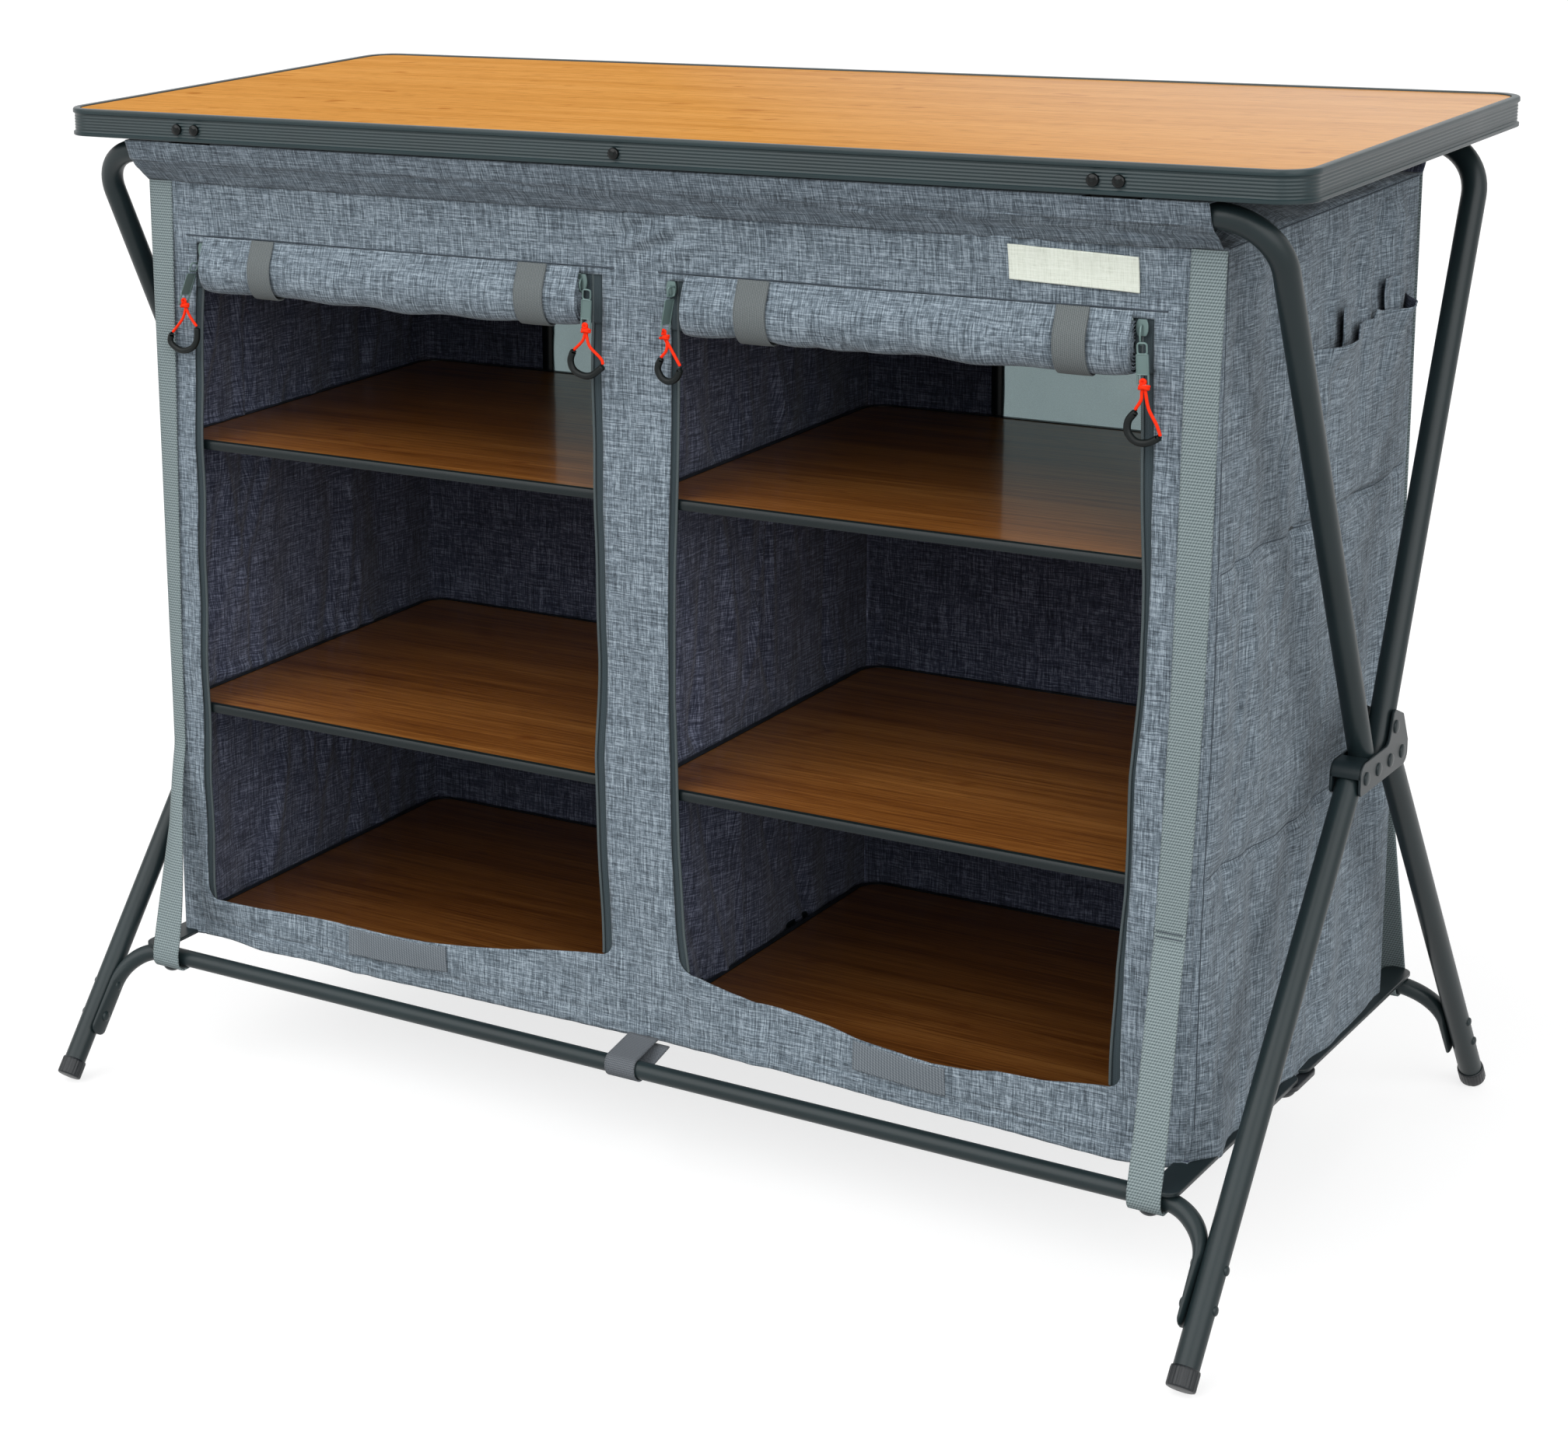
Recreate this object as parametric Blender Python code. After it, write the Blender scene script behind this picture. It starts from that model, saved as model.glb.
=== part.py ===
"""Fabric camp kitchen cupboard: a folding steel tube frame that carries a worktop
and a sewn fabric cupboard with two rolled-up doors and six wood-grain boards.

Metres, +Z up. X is the width, the doors face -Y, and the floor is Z = 0.
Run with: blender --background --python part.py
"""

from math import acos, atan2, ceil, cos, hypot, pi, radians, sin

import bmesh
import bpy
from mathutils import Matrix, Vector

# Fits between pieces
GAP = 0.0003            # clearance of pieces that touch
OVERRUN = 0.002         # how far cutting tools pass the skin they cut

# Worktop
TABLE_WIDTH = 1.030
TABLE_DEPTH = 0.454
TABLE_HEIGHT = 0.817
TABLE_CORNER = 0.026
RIM_HEIGHT = 0.022
RIM_LIP = 0.0062        # width of the top lip that covers the board's edge
RIM_LIP_HEIGHT = 0.0042
RIM_LIP_THICKNESS = 0.0014
RIM_BEAD = 0.0012       # how far lip and bottom bead stand proud of the ribbed face
RIM_BEAD_HEIGHT = 0.0030
RIM_WALL = 0.0036
BOARD_STEP = 0.0006     # how far the board's face stands above its edge, which the lip holds down
RIM_FLANGE = 0.0100
RIM_FLANGE_THICKNESS = 0.0014
RIM_CHAMFER = 0.0010
RIM_RIB = 0.0005
RIM_RIBS = 6
WORKTOP_THICKNESS = 0.0050

# Frame tubes
TUBE = 0.018            # diameter of the legs and the top frames
BAR = 0.014             # diameter of the two base bars
TUBE_INSET_X = 0.025    # side frames' centre plane inside the worktop's end
BAR_UNDER_RIM = 0.0025  # clear height between a top bar and the rim
FRONT_BAR_INSET = 0.0176  # top bar's middle inside the worktop's front edge
REAR_BAR_INSET = 0.0223
TOP_BEND = 0.042
TUBE_END = 0.005        # tube beyond its pivot rivet
FOOT_SPREAD = 0.6264     # between the middles of the feet, front to rear

# Hinge bracket, a bent channel with four rivets in a row and a fifth above
RIVET_HEIGHT = 0.357
RIVET_SPACING = 0.025
RIVET_ROW_Y = 0.0155    # middle of the row, behind the middle of the frame
RIVET_SHANK = 0.0050
RIVET_HEAD = 0.0100
RIVET_HEAD_HEIGHT = 0.0018
FIXING_RIVET_UP = 0.0247  # fifth rivet, along the rear tube from the third
PLATE = 0.0020
PLATE_MARGIN = 0.0125   # plate edge from the middle of a rivet
PLATE_FILLET = 0.0090

# Base bars and their flattened ends
BAR_HEIGHT = 0.101
BAR_BEND = 0.036
BAR_END_HEIGHT = 0.037  # lowest point of the flattened end, above the floor
FLAT_THICKNESS = 0.0044
FLAT_WIDTH = 0.0190
END_RIVET_HEIGHTS = (0.050, 0.072)
END_RIVET_HEAD = 0.0090
END_RIVET_HEAD_HEIGHT = 0.0026

# Foot caps
CAP_LENGTH = 0.0150
CAP_WALL = 0.0014
CAP_FLOOR = 0.0030
CAP_RIB = 0.0003
CAP_RIBS = 16
CAP_SOLE = 0.0012       # how much of the tilted sole is ground flat

# Side rails under the cupboard
RAIL_INSET = 0.019      # rail's middle inside the cupboard's side
RAIL_WIDTH = 0.022
RAIL_THICKNESS = 0.0030
LINK_LENGTH = 0.030     # between the two pins of the middle link
LINK_WIDTH = 0.020
PIN = 0.0050
PIN_DOME = 0.0150
PIN_DOME_HEIGHT = 0.0055
BOLT_DOME = 0.0120
BOLT_DOME_HEIGHT = 0.0050
BOLT_ROCK = radians(17.0)  # how far the pivot bolt rocks in its slot

# Worktop clips
CLIP_INSET = 0.106      # clip's middle inside the side frames' centre plane
CLIP_WIDTH = 0.026
CLIP_LENGTH = 0.034
CLIP_WALL = 0.0040
SADDLE_ANGLE = radians(50.0)
HOOK_FRONT_ANGLE = radians(110.0)
HOOK_REAR_ANGLE = radians(30.0)

# Fabric cupboard
SIDE_PLAY = 0.040       # cupboard's side inside the side frames' centre plane
FACE_INSET = 0.032      # cupboard's face behind the worktop's edge
ROOF_DROP = 0.0235      # roof below the top bars' middle
CLOTH = 0.0024
CLOTH_CORNER = 0.034    # rounding of the panels' lower corners
DOOR_INNER_X = 0.0335   # door opening edge nearest the middle
JAMB_WIDTH = 0.049      # cloth between the door opening and the cupboard's side
HEADER_HEIGHT = 0.051   # cloth between the roof and the door opening
DOOR_BOTTOM = 0.1490
DOOR_CORNER = 0.020
LIP_DIP = 0.012         # how far the doors' lower edge sags
VALANCE = 0.0016
VALANCE_STOP = 0.003    # the flaps end this far before they would meet the bars
LEDGE_WIDTH = 0.012
LEDGE_THICKNESS = 0.0016

# Boards
SHELF_DROPS = (0.4440, 0.2170)  # upper faces of the two shelf levels below the roof
BOARD_THICKNESS = 0.0060
BOARD_CORNER = 0.022
BOARD_PLAY = 0.0030     # between a board and the cloth around it

# Rolled doors and their elastic ties
ROLL_HEIGHT = 0.038
ROLL_DEPTH = 0.034
ROLL_END_PLAY = 0.012
ROLL_ROUND = 0.006
TIE_WIDTH = 0.028
TIE_THICKNESS = 0.0012
TIE_SHARES = (0.16, 0.86)  # along the roll, from its left end

# Webbing
STRAP_INSET = 0.013     # strap's middle inside the cupboard's side
STRAP_WIDTH = 0.025
STRAP_THICKNESS = 0.0015
STRAP_LEAVE_HEIGHT = 0.277  # where a strap leaves the cupboard for the bar
STRAP_RAIL_PLAY = 0.0012

# Zips
ZIP_X_INSET = 0.0045    # zip line inside the door opening's edge
SLIDER_HEIGHT = 0.0110
SLIDER_WIDTH = 0.0085
SLIDER_DEPTH = 0.0042
SLIDER_DROP = 0.0100    # slider's top below the door's top edge
PULL_PIN = 0.0016
TAB_LENGTH = 0.0250
TAB_WIDTH = 0.0070
TAB_THICKNESS = 0.0012
CORD = 0.0022
CORD_DROP = 0.0200
GRIP = 0.0050
GRIP_RADIUS = 0.0095
PULL_STAND_OFF = 0.0012

# Bare sewn label
LABEL_INSET = 0.055     # label's middle inside the door opening's outer edge
LABEL_DROP = 0.020      # label's middle below the roof
LABEL_WIDTH = 0.093
LABEL_HEIGHT = 0.027
LABEL_THICKNESS = 0.0008

# Shares of a neighbouring size
LOW_EDGE_SHARE = 0.88    # the bracket's lower margin, of the plate margin
LOBE_TIP_SHARE = 0.95
LOBE_FRONT_SHARE = 0.75
WAIST_SHARE = 1.02
TIGHT_FILLET_SHARE = 0.45
SLOT_ROUND_SHARE = 0.9
DOME_SHARES = (0.0, 0.7)  # rings of a domed end, from its edge to its top
SLIDER_NOSE_SHARE = 0.36  # half width of a slider's nose, of its width
BRIDGE_SHARE = 0.35      # the slider's pin below its top, of its height

# Counts of facets
TUBE_SIDES = 14
ROUND_SIDES = 10
BEND_STEPS = 7
CORNER_STEPS = 5
GRIP_STEPS = 8
CORD_SIDES = 6

# Places worked out from the sizes above
TUBE_R = TUBE / 2
BAR_R = BAR / 2
PIVOTS_Y = [RIVET_ROW_Y + (index - 1.5) * RIVET_SPACING for index in range(4)]
FOOT_Y = FOOT_SPREAD / 2
TUBE_X = TABLE_WIDTH / 2 - TUBE_INSET_X
CLIP_X = TUBE_X - CLIP_INSET
TOP_BAR_HEIGHT = TABLE_HEIGHT - RIM_HEIGHT - BAR_UNDER_RIM - TUBE_R
TOP_BAR_FRONT_Y = FRONT_BAR_INSET - TABLE_DEPTH / 2
TOP_BAR_REAR_Y = TABLE_DEPTH / 2 - REAR_BAR_INSET
RISE = TOP_BAR_HEIGHT - RIVET_HEIGHT
TOP_LEAN_FRONT = (PIVOTS_Y[1] - TOP_BAR_FRONT_Y) / RISE  # run over rise
TOP_LEAN_REAR = (TOP_BAR_REAR_Y - PIVOTS_Y[2]) / RISE
FACE_Y = TABLE_DEPTH / 2 - FACE_INSET
SIDE_X = TUBE_X - SIDE_PLAY
RAIL_X = SIDE_X - RAIL_INSET
STRAP_X = SIDE_X - STRAP_INSET
DOOR_OUTER_X = SIDE_X - JAMB_WIDTH
LABEL_X = DOOR_OUTER_X - LABEL_INSET
CUPBOARD_TOP = TOP_BAR_HEIGHT - ROOF_DROP
DOOR_TOP = CUPBOARD_TOP - HEADER_HEIGHT
LABEL_Z = CUPBOARD_TOP - LABEL_DROP
SHELF_HEIGHTS = [CUPBOARD_TOP - drop for drop in SHELF_DROPS]
RAIL_BOTTOM = BAR_HEIGHT + BAR_R + GAP
RAIL_TOP = RAIL_BOTTOM + RAIL_THICKNESS
CUPBOARD_BOTTOM = RAIL_TOP + 2 * GAP
CHANNEL = TUBE_R + GAP


def leg_y(side, height):
    """Y of a leg's centre line at a height; side is -1 for the front legs, 1 for the rear."""
    pivot = PIVOTS_Y[0] if side < 0 else PIVOTS_Y[3]
    share = 1 - height / RIVET_HEIGHT
    return pivot + (side * FOOT_Y - pivot) * share


# Meshes

def clear_scene():
    """Removes what the start-up file holds."""
    for item in list(bpy.data.objects):
        bpy.data.objects.remove(item, do_unlink=True)


def material(name, colour, roughness, metallic=0.0):
    """A Principled material; colours are linear red, green and blue."""
    made = bpy.data.materials.new(name)
    made.use_nodes = True
    shader = made.node_tree.nodes["Principled BSDF"]
    shader.inputs["Base Color"].default_value = (*colour, 1.0)
    shader.inputs["Roughness"].default_value = roughness
    shader.inputs["Metallic"].default_value = metallic
    made.diffuse_color = (*colour, 1.0)
    return made


FINISHES = {
    "coated_steel": ((0.030, 0.043, 0.046), 0.42, 0.55),
    "bracket_steel": ((0.022, 0.032, 0.034), 0.38, 0.60),
    "rim_aluminium": ((0.045, 0.058, 0.060), 0.36, 0.70),
    "black_plastic": ((0.012, 0.014, 0.016), 0.50, 0.0),
    "zinc": ((0.30, 0.35, 0.34), 0.32, 0.90),
    "worktop": ((0.73, 0.38, 0.10), 0.35, 0.0),
    "board": ((0.42, 0.17, 0.035), 0.35, 0.0),
    "grey_cloth": ((0.22, 0.23, 0.25), 0.95, 0.0),
    "webbing": ((0.17, 0.21, 0.20), 0.90, 0.0),
    "elastic": ((0.24, 0.22, 0.19), 0.90, 0.0),
    "label_cloth": ((0.76, 0.78, 0.66), 0.80, 0.0),
    "orange_cord": ((0.95, 0.07, 0.01), 0.60, 0.0),
}


def add_object(name, mesh, finish, origin=(0, 0, 0)):
    """Puts a mesh built in world coordinates into the scene, with its origin at a joint."""
    mesh.transform(Matrix.Translation(-Vector(origin)))
    item = bpy.data.objects.new(name, mesh)
    item.location = origin
    bpy.context.scene.collection.objects.link(item)
    mesh.materials.append(material(name, *FINISHES[finish]))
    return item


def mesh_from(bm):
    """Closes a bmesh with its faces outward and returns it as a mesh."""
    bmesh.ops.recalc_face_normals(bm, faces=bm.faces)
    mesh = bpy.data.meshes.new("shape")
    bm.to_mesh(mesh)
    bm.free()
    return mesh


def loft(rings, closed=False):
    """Skins equal rings of points; the ends are capped unless the path is closed."""
    bm = bmesh.new()
    rows = [[bm.verts.new(point) for point in ring] for ring in rings]
    pairs = list(zip(rows, rows[1:]))
    if closed:
        pairs.append((rows[-1], rows[0]))
    for first, second in pairs:
        for index in range(len(first)):
            after = (index + 1) % len(first)
            bm.faces.new((first[index], first[after], second[after], second[index]))
    if not closed:
        bm.faces.new(rows[0])
        bm.faces.new(rows[-1])
    return mesh_from(bm)


def extrude(outline, direction, start, end):
    """A flat outline of points pushed along a unit direction from start to end."""
    way = Vector(direction)
    return loft([[Vector(point) + way * offset for point in outline] for offset in (start, end)])


def box(low, high):
    """An axis-aligned block between two corners."""
    corners = [(low[0], low[1]), (high[0], low[1]), (high[0], high[1]), (low[0], high[1])]
    return extrude([(x, y, 0) for x, y in corners], (0, 0, 1), low[2], high[2])


def cylinder(start, end, radius, sides=ROUND_SIDES, domed=0.0):
    """A rod between two points, its far end drawn in by a dome height if one is given."""
    start = Vector(start)
    end = Vector(end)
    along = (end - start).normalized()
    across = along.orthogonal().normalized()
    other = along.cross(across)
    stations = [(start, radius), (end, radius)]
    if domed:
        stations = [(start, radius)]
        for share in DOME_SHARES:
            stations.append((end + along * domed * share, radius * (1 - share ** 2) ** 0.5))
    rings = []
    for centre, size in stations:
        turns = [2 * pi * index / sides for index in range(sides)]
        rings.append([centre + (across * cos(t) + other * sin(t)) * size for t in turns])
    return loft(rings)


def combined(mesh, tools, operation):
    """Joins tool meshes to a mesh or cuts them from it, one exact Boolean each."""
    for tool in tools:
        base_item = bpy.data.objects.new("base", mesh)
        tool_item = bpy.data.objects.new("tool", tool)
        for item in (base_item, tool_item):
            bpy.context.scene.collection.objects.link(item)
        boolean = base_item.modifiers.new("boolean", "BOOLEAN")
        boolean.operation = operation
        boolean.solver = "EXACT"
        boolean.object = tool_item
        graph = bpy.context.evaluated_depsgraph_get()
        mesh = bpy.data.meshes.new_from_object(base_item.evaluated_get(graph))
        bpy.data.objects.remove(base_item)
        bpy.data.objects.remove(tool_item)
    return mesh


def rounded(points, radii, steps=CORNER_STEPS):
    """Rounds the corners of a closed outline of 2D points with arcs of the given radii."""
    result = []
    count = len(points)
    for index, radius in enumerate(radii):
        corner = Vector(points[index])
        before = (Vector(points[index - 1]) - corner).normalized()
        after = (Vector(points[(index + 1) % count]) - corner).normalized()
        result += arc_points(corner, before, after, radius, steps)
    return result


def arc_points(corner, before, after, radius, steps):
    """Points of the arc that rounds a corner between two unit directions, 2D or 3D."""
    half = acos(max(-1.0, min(1.0, before.dot(after)))) / 2
    if radius == 0 or half > pi / 2 - 0.001:
        return [corner]
    middle = (before + after).normalized()
    centre = corner + middle * (radius / sin(half))
    start = corner + before * (radius * cos(half) / sin(half)) - centre
    end = corner + after * (radius * cos(half) / sin(half)) - centre
    span = pi - 2 * half
    found = []
    for step in range(steps + 1):
        share = step / steps
        found.append(centre + (start * sin((1 - share) * span) + end * sin(share * span)) / sin(span))
    return found


def rounded_rectangle(width, depth, radius, centre=(0, 0), steps=CORNER_STEPS):
    """A rounded rectangle as 2D points."""
    x, y = width / 2, depth / 2
    corners = [(centre[0] + u * x, centre[1] + v * y) for u, v in ((-1, -1), (1, -1), (1, 1), (-1, 1))]
    return rounded(corners, [radius] * 4, steps)


def bent_path(points, radius, steps=BEND_STEPS):
    """A polyline through 3D points with its inner corners bent to a radius."""
    path = [Vector(points[0])]
    for index in range(1, len(points) - 1):
        corner = Vector(points[index])
        before = (Vector(points[index - 1]) - corner).normalized()
        after = (Vector(points[index + 1]) - corner).normalized()
        path += arc_points(corner, before, after, radius, steps)
    path.append(Vector(points[-1]))
    return path


def swept(path, normal, sizes, sides=TUBE_SIDES):
    """Skins an oval along a flat path; sizes gives the half axes across and along the normal."""
    rings = []
    last = len(path) - 1
    for index, centre in enumerate(path):
        ahead = path[min(index + 1, last)] - path[max(index - 1, 0)]
        if 0 < index < last:
            ahead = (path[index + 1] - centre).normalized() + (centre - path[index - 1]).normalized()
        across = ahead.cross(normal).normalized()
        wide, thick = sizes[index]
        turns = [2 * pi * (side + 0.5) / sides for side in range(sides)]
        rings.append([centre + across * (wide * cos(t)) + normal * (thick * sin(t)) for t in turns])
    return loft(rings)


def ribbon(path, thickness, x_low, x_high):
    """A strip that follows 2D points (y, z), thickened to one side and spread along X."""
    points = [Vector(point) for point in path]
    left = []
    for index, point in enumerate(points):
        ahead = points[min(index + 1, len(points) - 1)] - points[max(index - 1, 0)]
        side = Vector((ahead.y, -ahead.x)).normalized()
        left.append(point + side * thickness)
    outline = points + left[::-1]
    return extrude([(0, y, z) for y, z in outline], (1, 0, 0), x_low, x_high)


def arc_about(centre, radius, start, end, steps):
    """2D points (y, z) on a circle, angles measured from +Z toward +Y."""
    angles = [start + (end - start) * step / steps for step in range(steps + 1)]
    return [(centre[0] + radius * sin(angle), centre[1] + radius * cos(angle)) for angle in angles]


# Frame

def sole_point(side, hand):
    """Middle of a foot cap's sole, low enough for its edge to be ground flat on the floor."""
    down = leg_direction(side)
    rise = (TUBE_R + GAP + CAP_WALL) * abs(down.y) - CAP_SOLE
    return Vector((hand * TUBE_X, leg_y(side, rise), rise))


def frame_direction(side):
    """Unit direction up a top frame's tube; side is -1 for the front frame, 1 for the rear."""
    lean = TOP_LEAN_FRONT if side < 0 else TOP_LEAN_REAR
    return Vector((0, side * lean, 1)).normalized()


def leg_direction(side):
    """Unit direction down a leg."""
    pivot = PIVOTS_Y[0] if side < 0 else PIVOTS_Y[3]
    return Vector((0, side * FOOT_Y - pivot, -RIVET_HEIGHT)).normalized()


def pivot_point(index, x=0.0):
    """Middle of one of the four rivets in the row."""
    return Vector((x, PIVOTS_Y[index], RIVET_HEIGHT))


def fixing_point(x=0.0):
    """Middle of the fifth rivet, which fixes the bracket to the rear tube."""
    return pivot_point(2, x) + frame_direction(1) * FIXING_RIVET_UP


def bore(point, radius, reach):
    """A cutting rod along X, centred on a point."""
    away = Vector((reach + OVERRUN, 0, 0))
    return cylinder(point - away, point + away, radius)


def make_top_frame(side):
    """One tube bent to a wide U: two uprights and the bar under the worktop."""
    pivot = 1 if side < 0 else 2
    bar_y = TOP_BAR_FRONT_Y if side < 0 else TOP_BAR_REAR_Y
    low = pivot_point(pivot) - frame_direction(side) * TUBE_END
    corners = [(-TUBE_X, low.y, low.z), (-TUBE_X, bar_y, TOP_BAR_HEIGHT),
               (TUBE_X, bar_y, TOP_BAR_HEIGHT), (TUBE_X, low.y, low.z)]
    path = bent_path(corners, TOP_BEND)
    normal = frame_direction(side).cross(Vector((1, 0, 0))).normalized()
    mesh = swept(path, normal, [(TUBE_R, TUBE_R)] * len(path))
    points = [pivot_point(pivot, x) for x in (-TUBE_X, TUBE_X)]
    if side > 0:
        points += [fixing_point(x) for x in (-TUBE_X, TUBE_X)]
    mesh = combined(mesh, [bore(point, RIVET_SHANK / 2 + GAP, TUBE_R) for point in points], "DIFFERENCE")
    name = "front_top_frame" if side < 0 else "rear_top_frame"
    origin = pivot_point(1) if side < 0 else Vector((0, TOP_BAR_REAR_Y, TOP_BAR_HEIGHT))
    add_object(name, mesh, "coated_steel", origin)


def make_leg(side, hand):
    """A straight leg from its rivet to the foot; hand is 1 on the right, -1 on the left."""
    index = 0 if side < 0 else 3
    x = hand * TUBE_X
    down = leg_direction(side)
    top = pivot_point(index, x) - down * TUBE_END
    foot = sole_point(side, hand) - down * (CAP_FLOOR + GAP)
    normal = Vector((1, 0, 0))
    mesh = swept([top, foot], normal, [(TUBE_R, TUBE_R)] * 2)
    mesh = combined(mesh, [bore(pivot_point(index, x), RIVET_SHANK / 2 + GAP, TUBE_R)], "DIFFERENCE")
    heads = []
    for height in END_RIVET_HEIGHTS:
        spot = Vector((x, leg_y(side, height), height))
        skin = Vector((hand * (TUBE_R - RIVET_HEAD_HEIGHT), 0, 0))
        end = Vector((hand * (TUBE_R + GAP), 0, 0))
        heads.append(cylinder(spot + skin, spot + end, RIVET_SHANK / 2, domed=RIVET_HEAD_HEIGHT))
    mesh = combined(mesh, heads, "UNION")
    add_object(part_name("leg", side, hand), mesh, "coated_steel", pivot_point(index, x))


def part_name(base, side, hand):
    """A name such as front_leg_right."""
    place = "front" if side < 0 else "rear"
    return place + "_" + base + ("_right" if hand > 0 else "_left")


def make_foot_cap(side, hand):
    """A ribbed plastic cup on the tube end, its sole ground flat where it stands."""
    down = leg_direction(side)
    sole = sole_point(side, hand)
    across = Vector((1, 0, 0))
    other = down.cross(across)
    radius = TUBE_R + GAP + CAP_WALL
    rings = []
    for rise, inset in ((0, CAP_WALL), (CAP_WALL, 0), (CAP_LENGTH - CAP_WALL / 2, 0), (CAP_LENGTH, CAP_WALL / 2)):
        ring = []
        for step in range(2 * CAP_RIBS):
            size = radius - inset - (CAP_RIB if step % 2 else 0)
            turn = pi * step / CAP_RIBS
            ring.append(sole - down * rise + (across * cos(turn) + other * sin(turn)) * size)
        rings.append(ring)
    mesh = loft(rings)
    seat = sole - down * CAP_FLOOR
    hollow = cylinder(seat, sole - down * (CAP_LENGTH + OVERRUN), TUBE_R + GAP, TUBE_SIDES)
    reach = TUBE
    floor = box((sole.x - reach, sole.y - reach, -reach), (sole.x + reach, sole.y + reach, 0))
    mesh = combined(mesh, [hollow, floor], "DIFFERENCE")
    add_object(part_name("foot_cap", side, hand), mesh, "black_plastic", sole)


def make_base_bar(side):
    """The bar between two legs, its ends bent down along them, flattened and riveted."""
    down = leg_direction(side)
    end_x = TUBE_X - TUBE_R - GAP - FLAT_THICKNESS / 2
    corner_y = leg_y(side, BAR_HEIGHT)
    end_y = leg_y(side, BAR_END_HEIGHT)
    corners = [(-end_x, end_y, BAR_END_HEIGHT), (-end_x, corner_y, BAR_HEIGHT),
               (end_x, corner_y, BAR_HEIGHT), (end_x, end_y, BAR_END_HEIGHT)]
    path = bent_path(corners, BAR_BEND)
    normal = down.cross(Vector((1, 0, 0))).normalized()
    flat = (FLAT_THICKNESS / 2, FLAT_WIDTH / 2)
    sizes = []
    for index in range(len(path)):
        from_end = min(index, len(path) - 1 - index)
        share = min(1.0, max(0.0, (from_end - 1) / (BEND_STEPS - 1)))
        sizes.append(tuple(low + (BAR_R - low) * share for low in flat))
    mesh = swept(path, normal, sizes)
    tools = []
    slots = []
    for hand in (-1, 1):
        for height in END_RIVET_HEIGHTS:
            spot = Vector((hand * end_x, leg_y(side, height), height))
            inner = spot - Vector((hand * (FLAT_THICKNESS / 2 - GAP), 0, 0))
            inward = inner - Vector((hand * 2 * GAP, 0, 0))
            tools.append(cylinder(inner, inward, END_RIVET_HEAD / 2, domed=END_RIVET_HEAD_HEIGHT))
        place = Vector((hand * RAIL_X, corner_y, BAR_HEIGHT))
        if side < 0:
            slots.append(bolt_slot(place))
        else:
            skin = place - Vector((0, 0, BAR_R * cos(pi / TUBE_SIDES) - OVERRUN / 2))
            dome_top = place - Vector((0, 0, BAR_R + GAP))
            tools.append(cylinder(skin, dome_top, BOLT_DOME / 2, domed=BOLT_DOME_HEIGHT))
    mesh = combined(mesh, tools, "UNION")
    mesh = combined(mesh, slots, "DIFFERENCE")
    name = "front_base_bar" if side < 0 else "rear_base_bar"
    add_object(name, mesh, "coated_steel", pivot_point(0 if side < 0 else 3))


def bolt_slot(place):
    """A cutter for the slot that lets the pivot bolt rock front to rear."""
    reach = BAR_R + OVERRUN
    half_x = PIN / 2 + GAP
    half_y = half_x / cos(BOLT_ROCK) + reach * sin(BOLT_ROCK) / cos(BOLT_ROCK)
    outline = rounded_rectangle(2 * half_x, 2 * half_y, half_x * SLOT_ROUND_SHARE, (place.x, place.y), 3)
    return extrude([(x, y, place.z) for x, y in outline], (0, 0, 1), -reach, reach)


def bracket_outline():
    """The bracket's plate as 2D points (y, z), from the front corner round the row of rivets."""
    low = RIVET_HEIGHT - PLATE_MARGIN * LOW_EDGE_SHARE
    high = RIVET_HEIGHT + PLATE_MARGIN
    front = PIVOTS_Y[0] - PLATE_MARGIN
    rear = PIVOTS_Y[3] + PLATE_MARGIN
    lobe = fixing_point()
    up = frame_direction(1)
    back = Vector((0, up.z, -up.y))
    top_front = lobe + up * PLATE_MARGIN * LOBE_TIP_SHARE - back * PLATE_MARGIN * LOBE_FRONT_SHARE
    top_rear = lobe + up * PLATE_MARGIN * LOBE_TIP_SHARE + back * PLATE_MARGIN
    waist = pivot_point(2) - back * PLATE_MARGIN * LOBE_FRONT_SHARE + up * PLATE_MARGIN * WAIST_SHARE
    points = [(front, low), (rear, low), (rear, RIVET_HEIGHT + PLATE_MARGIN / 2), (top_rear.y, top_rear.z),
              (top_front.y, top_front.z), (waist.y, high), (front, high)]
    tight = PLATE_FILLET * TIGHT_FILLET_SHARE
    return rounded(points, [tight, PLATE_FILLET, tight, tight, tight, PLATE_FILLET, PLATE_FILLET], 4)


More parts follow.
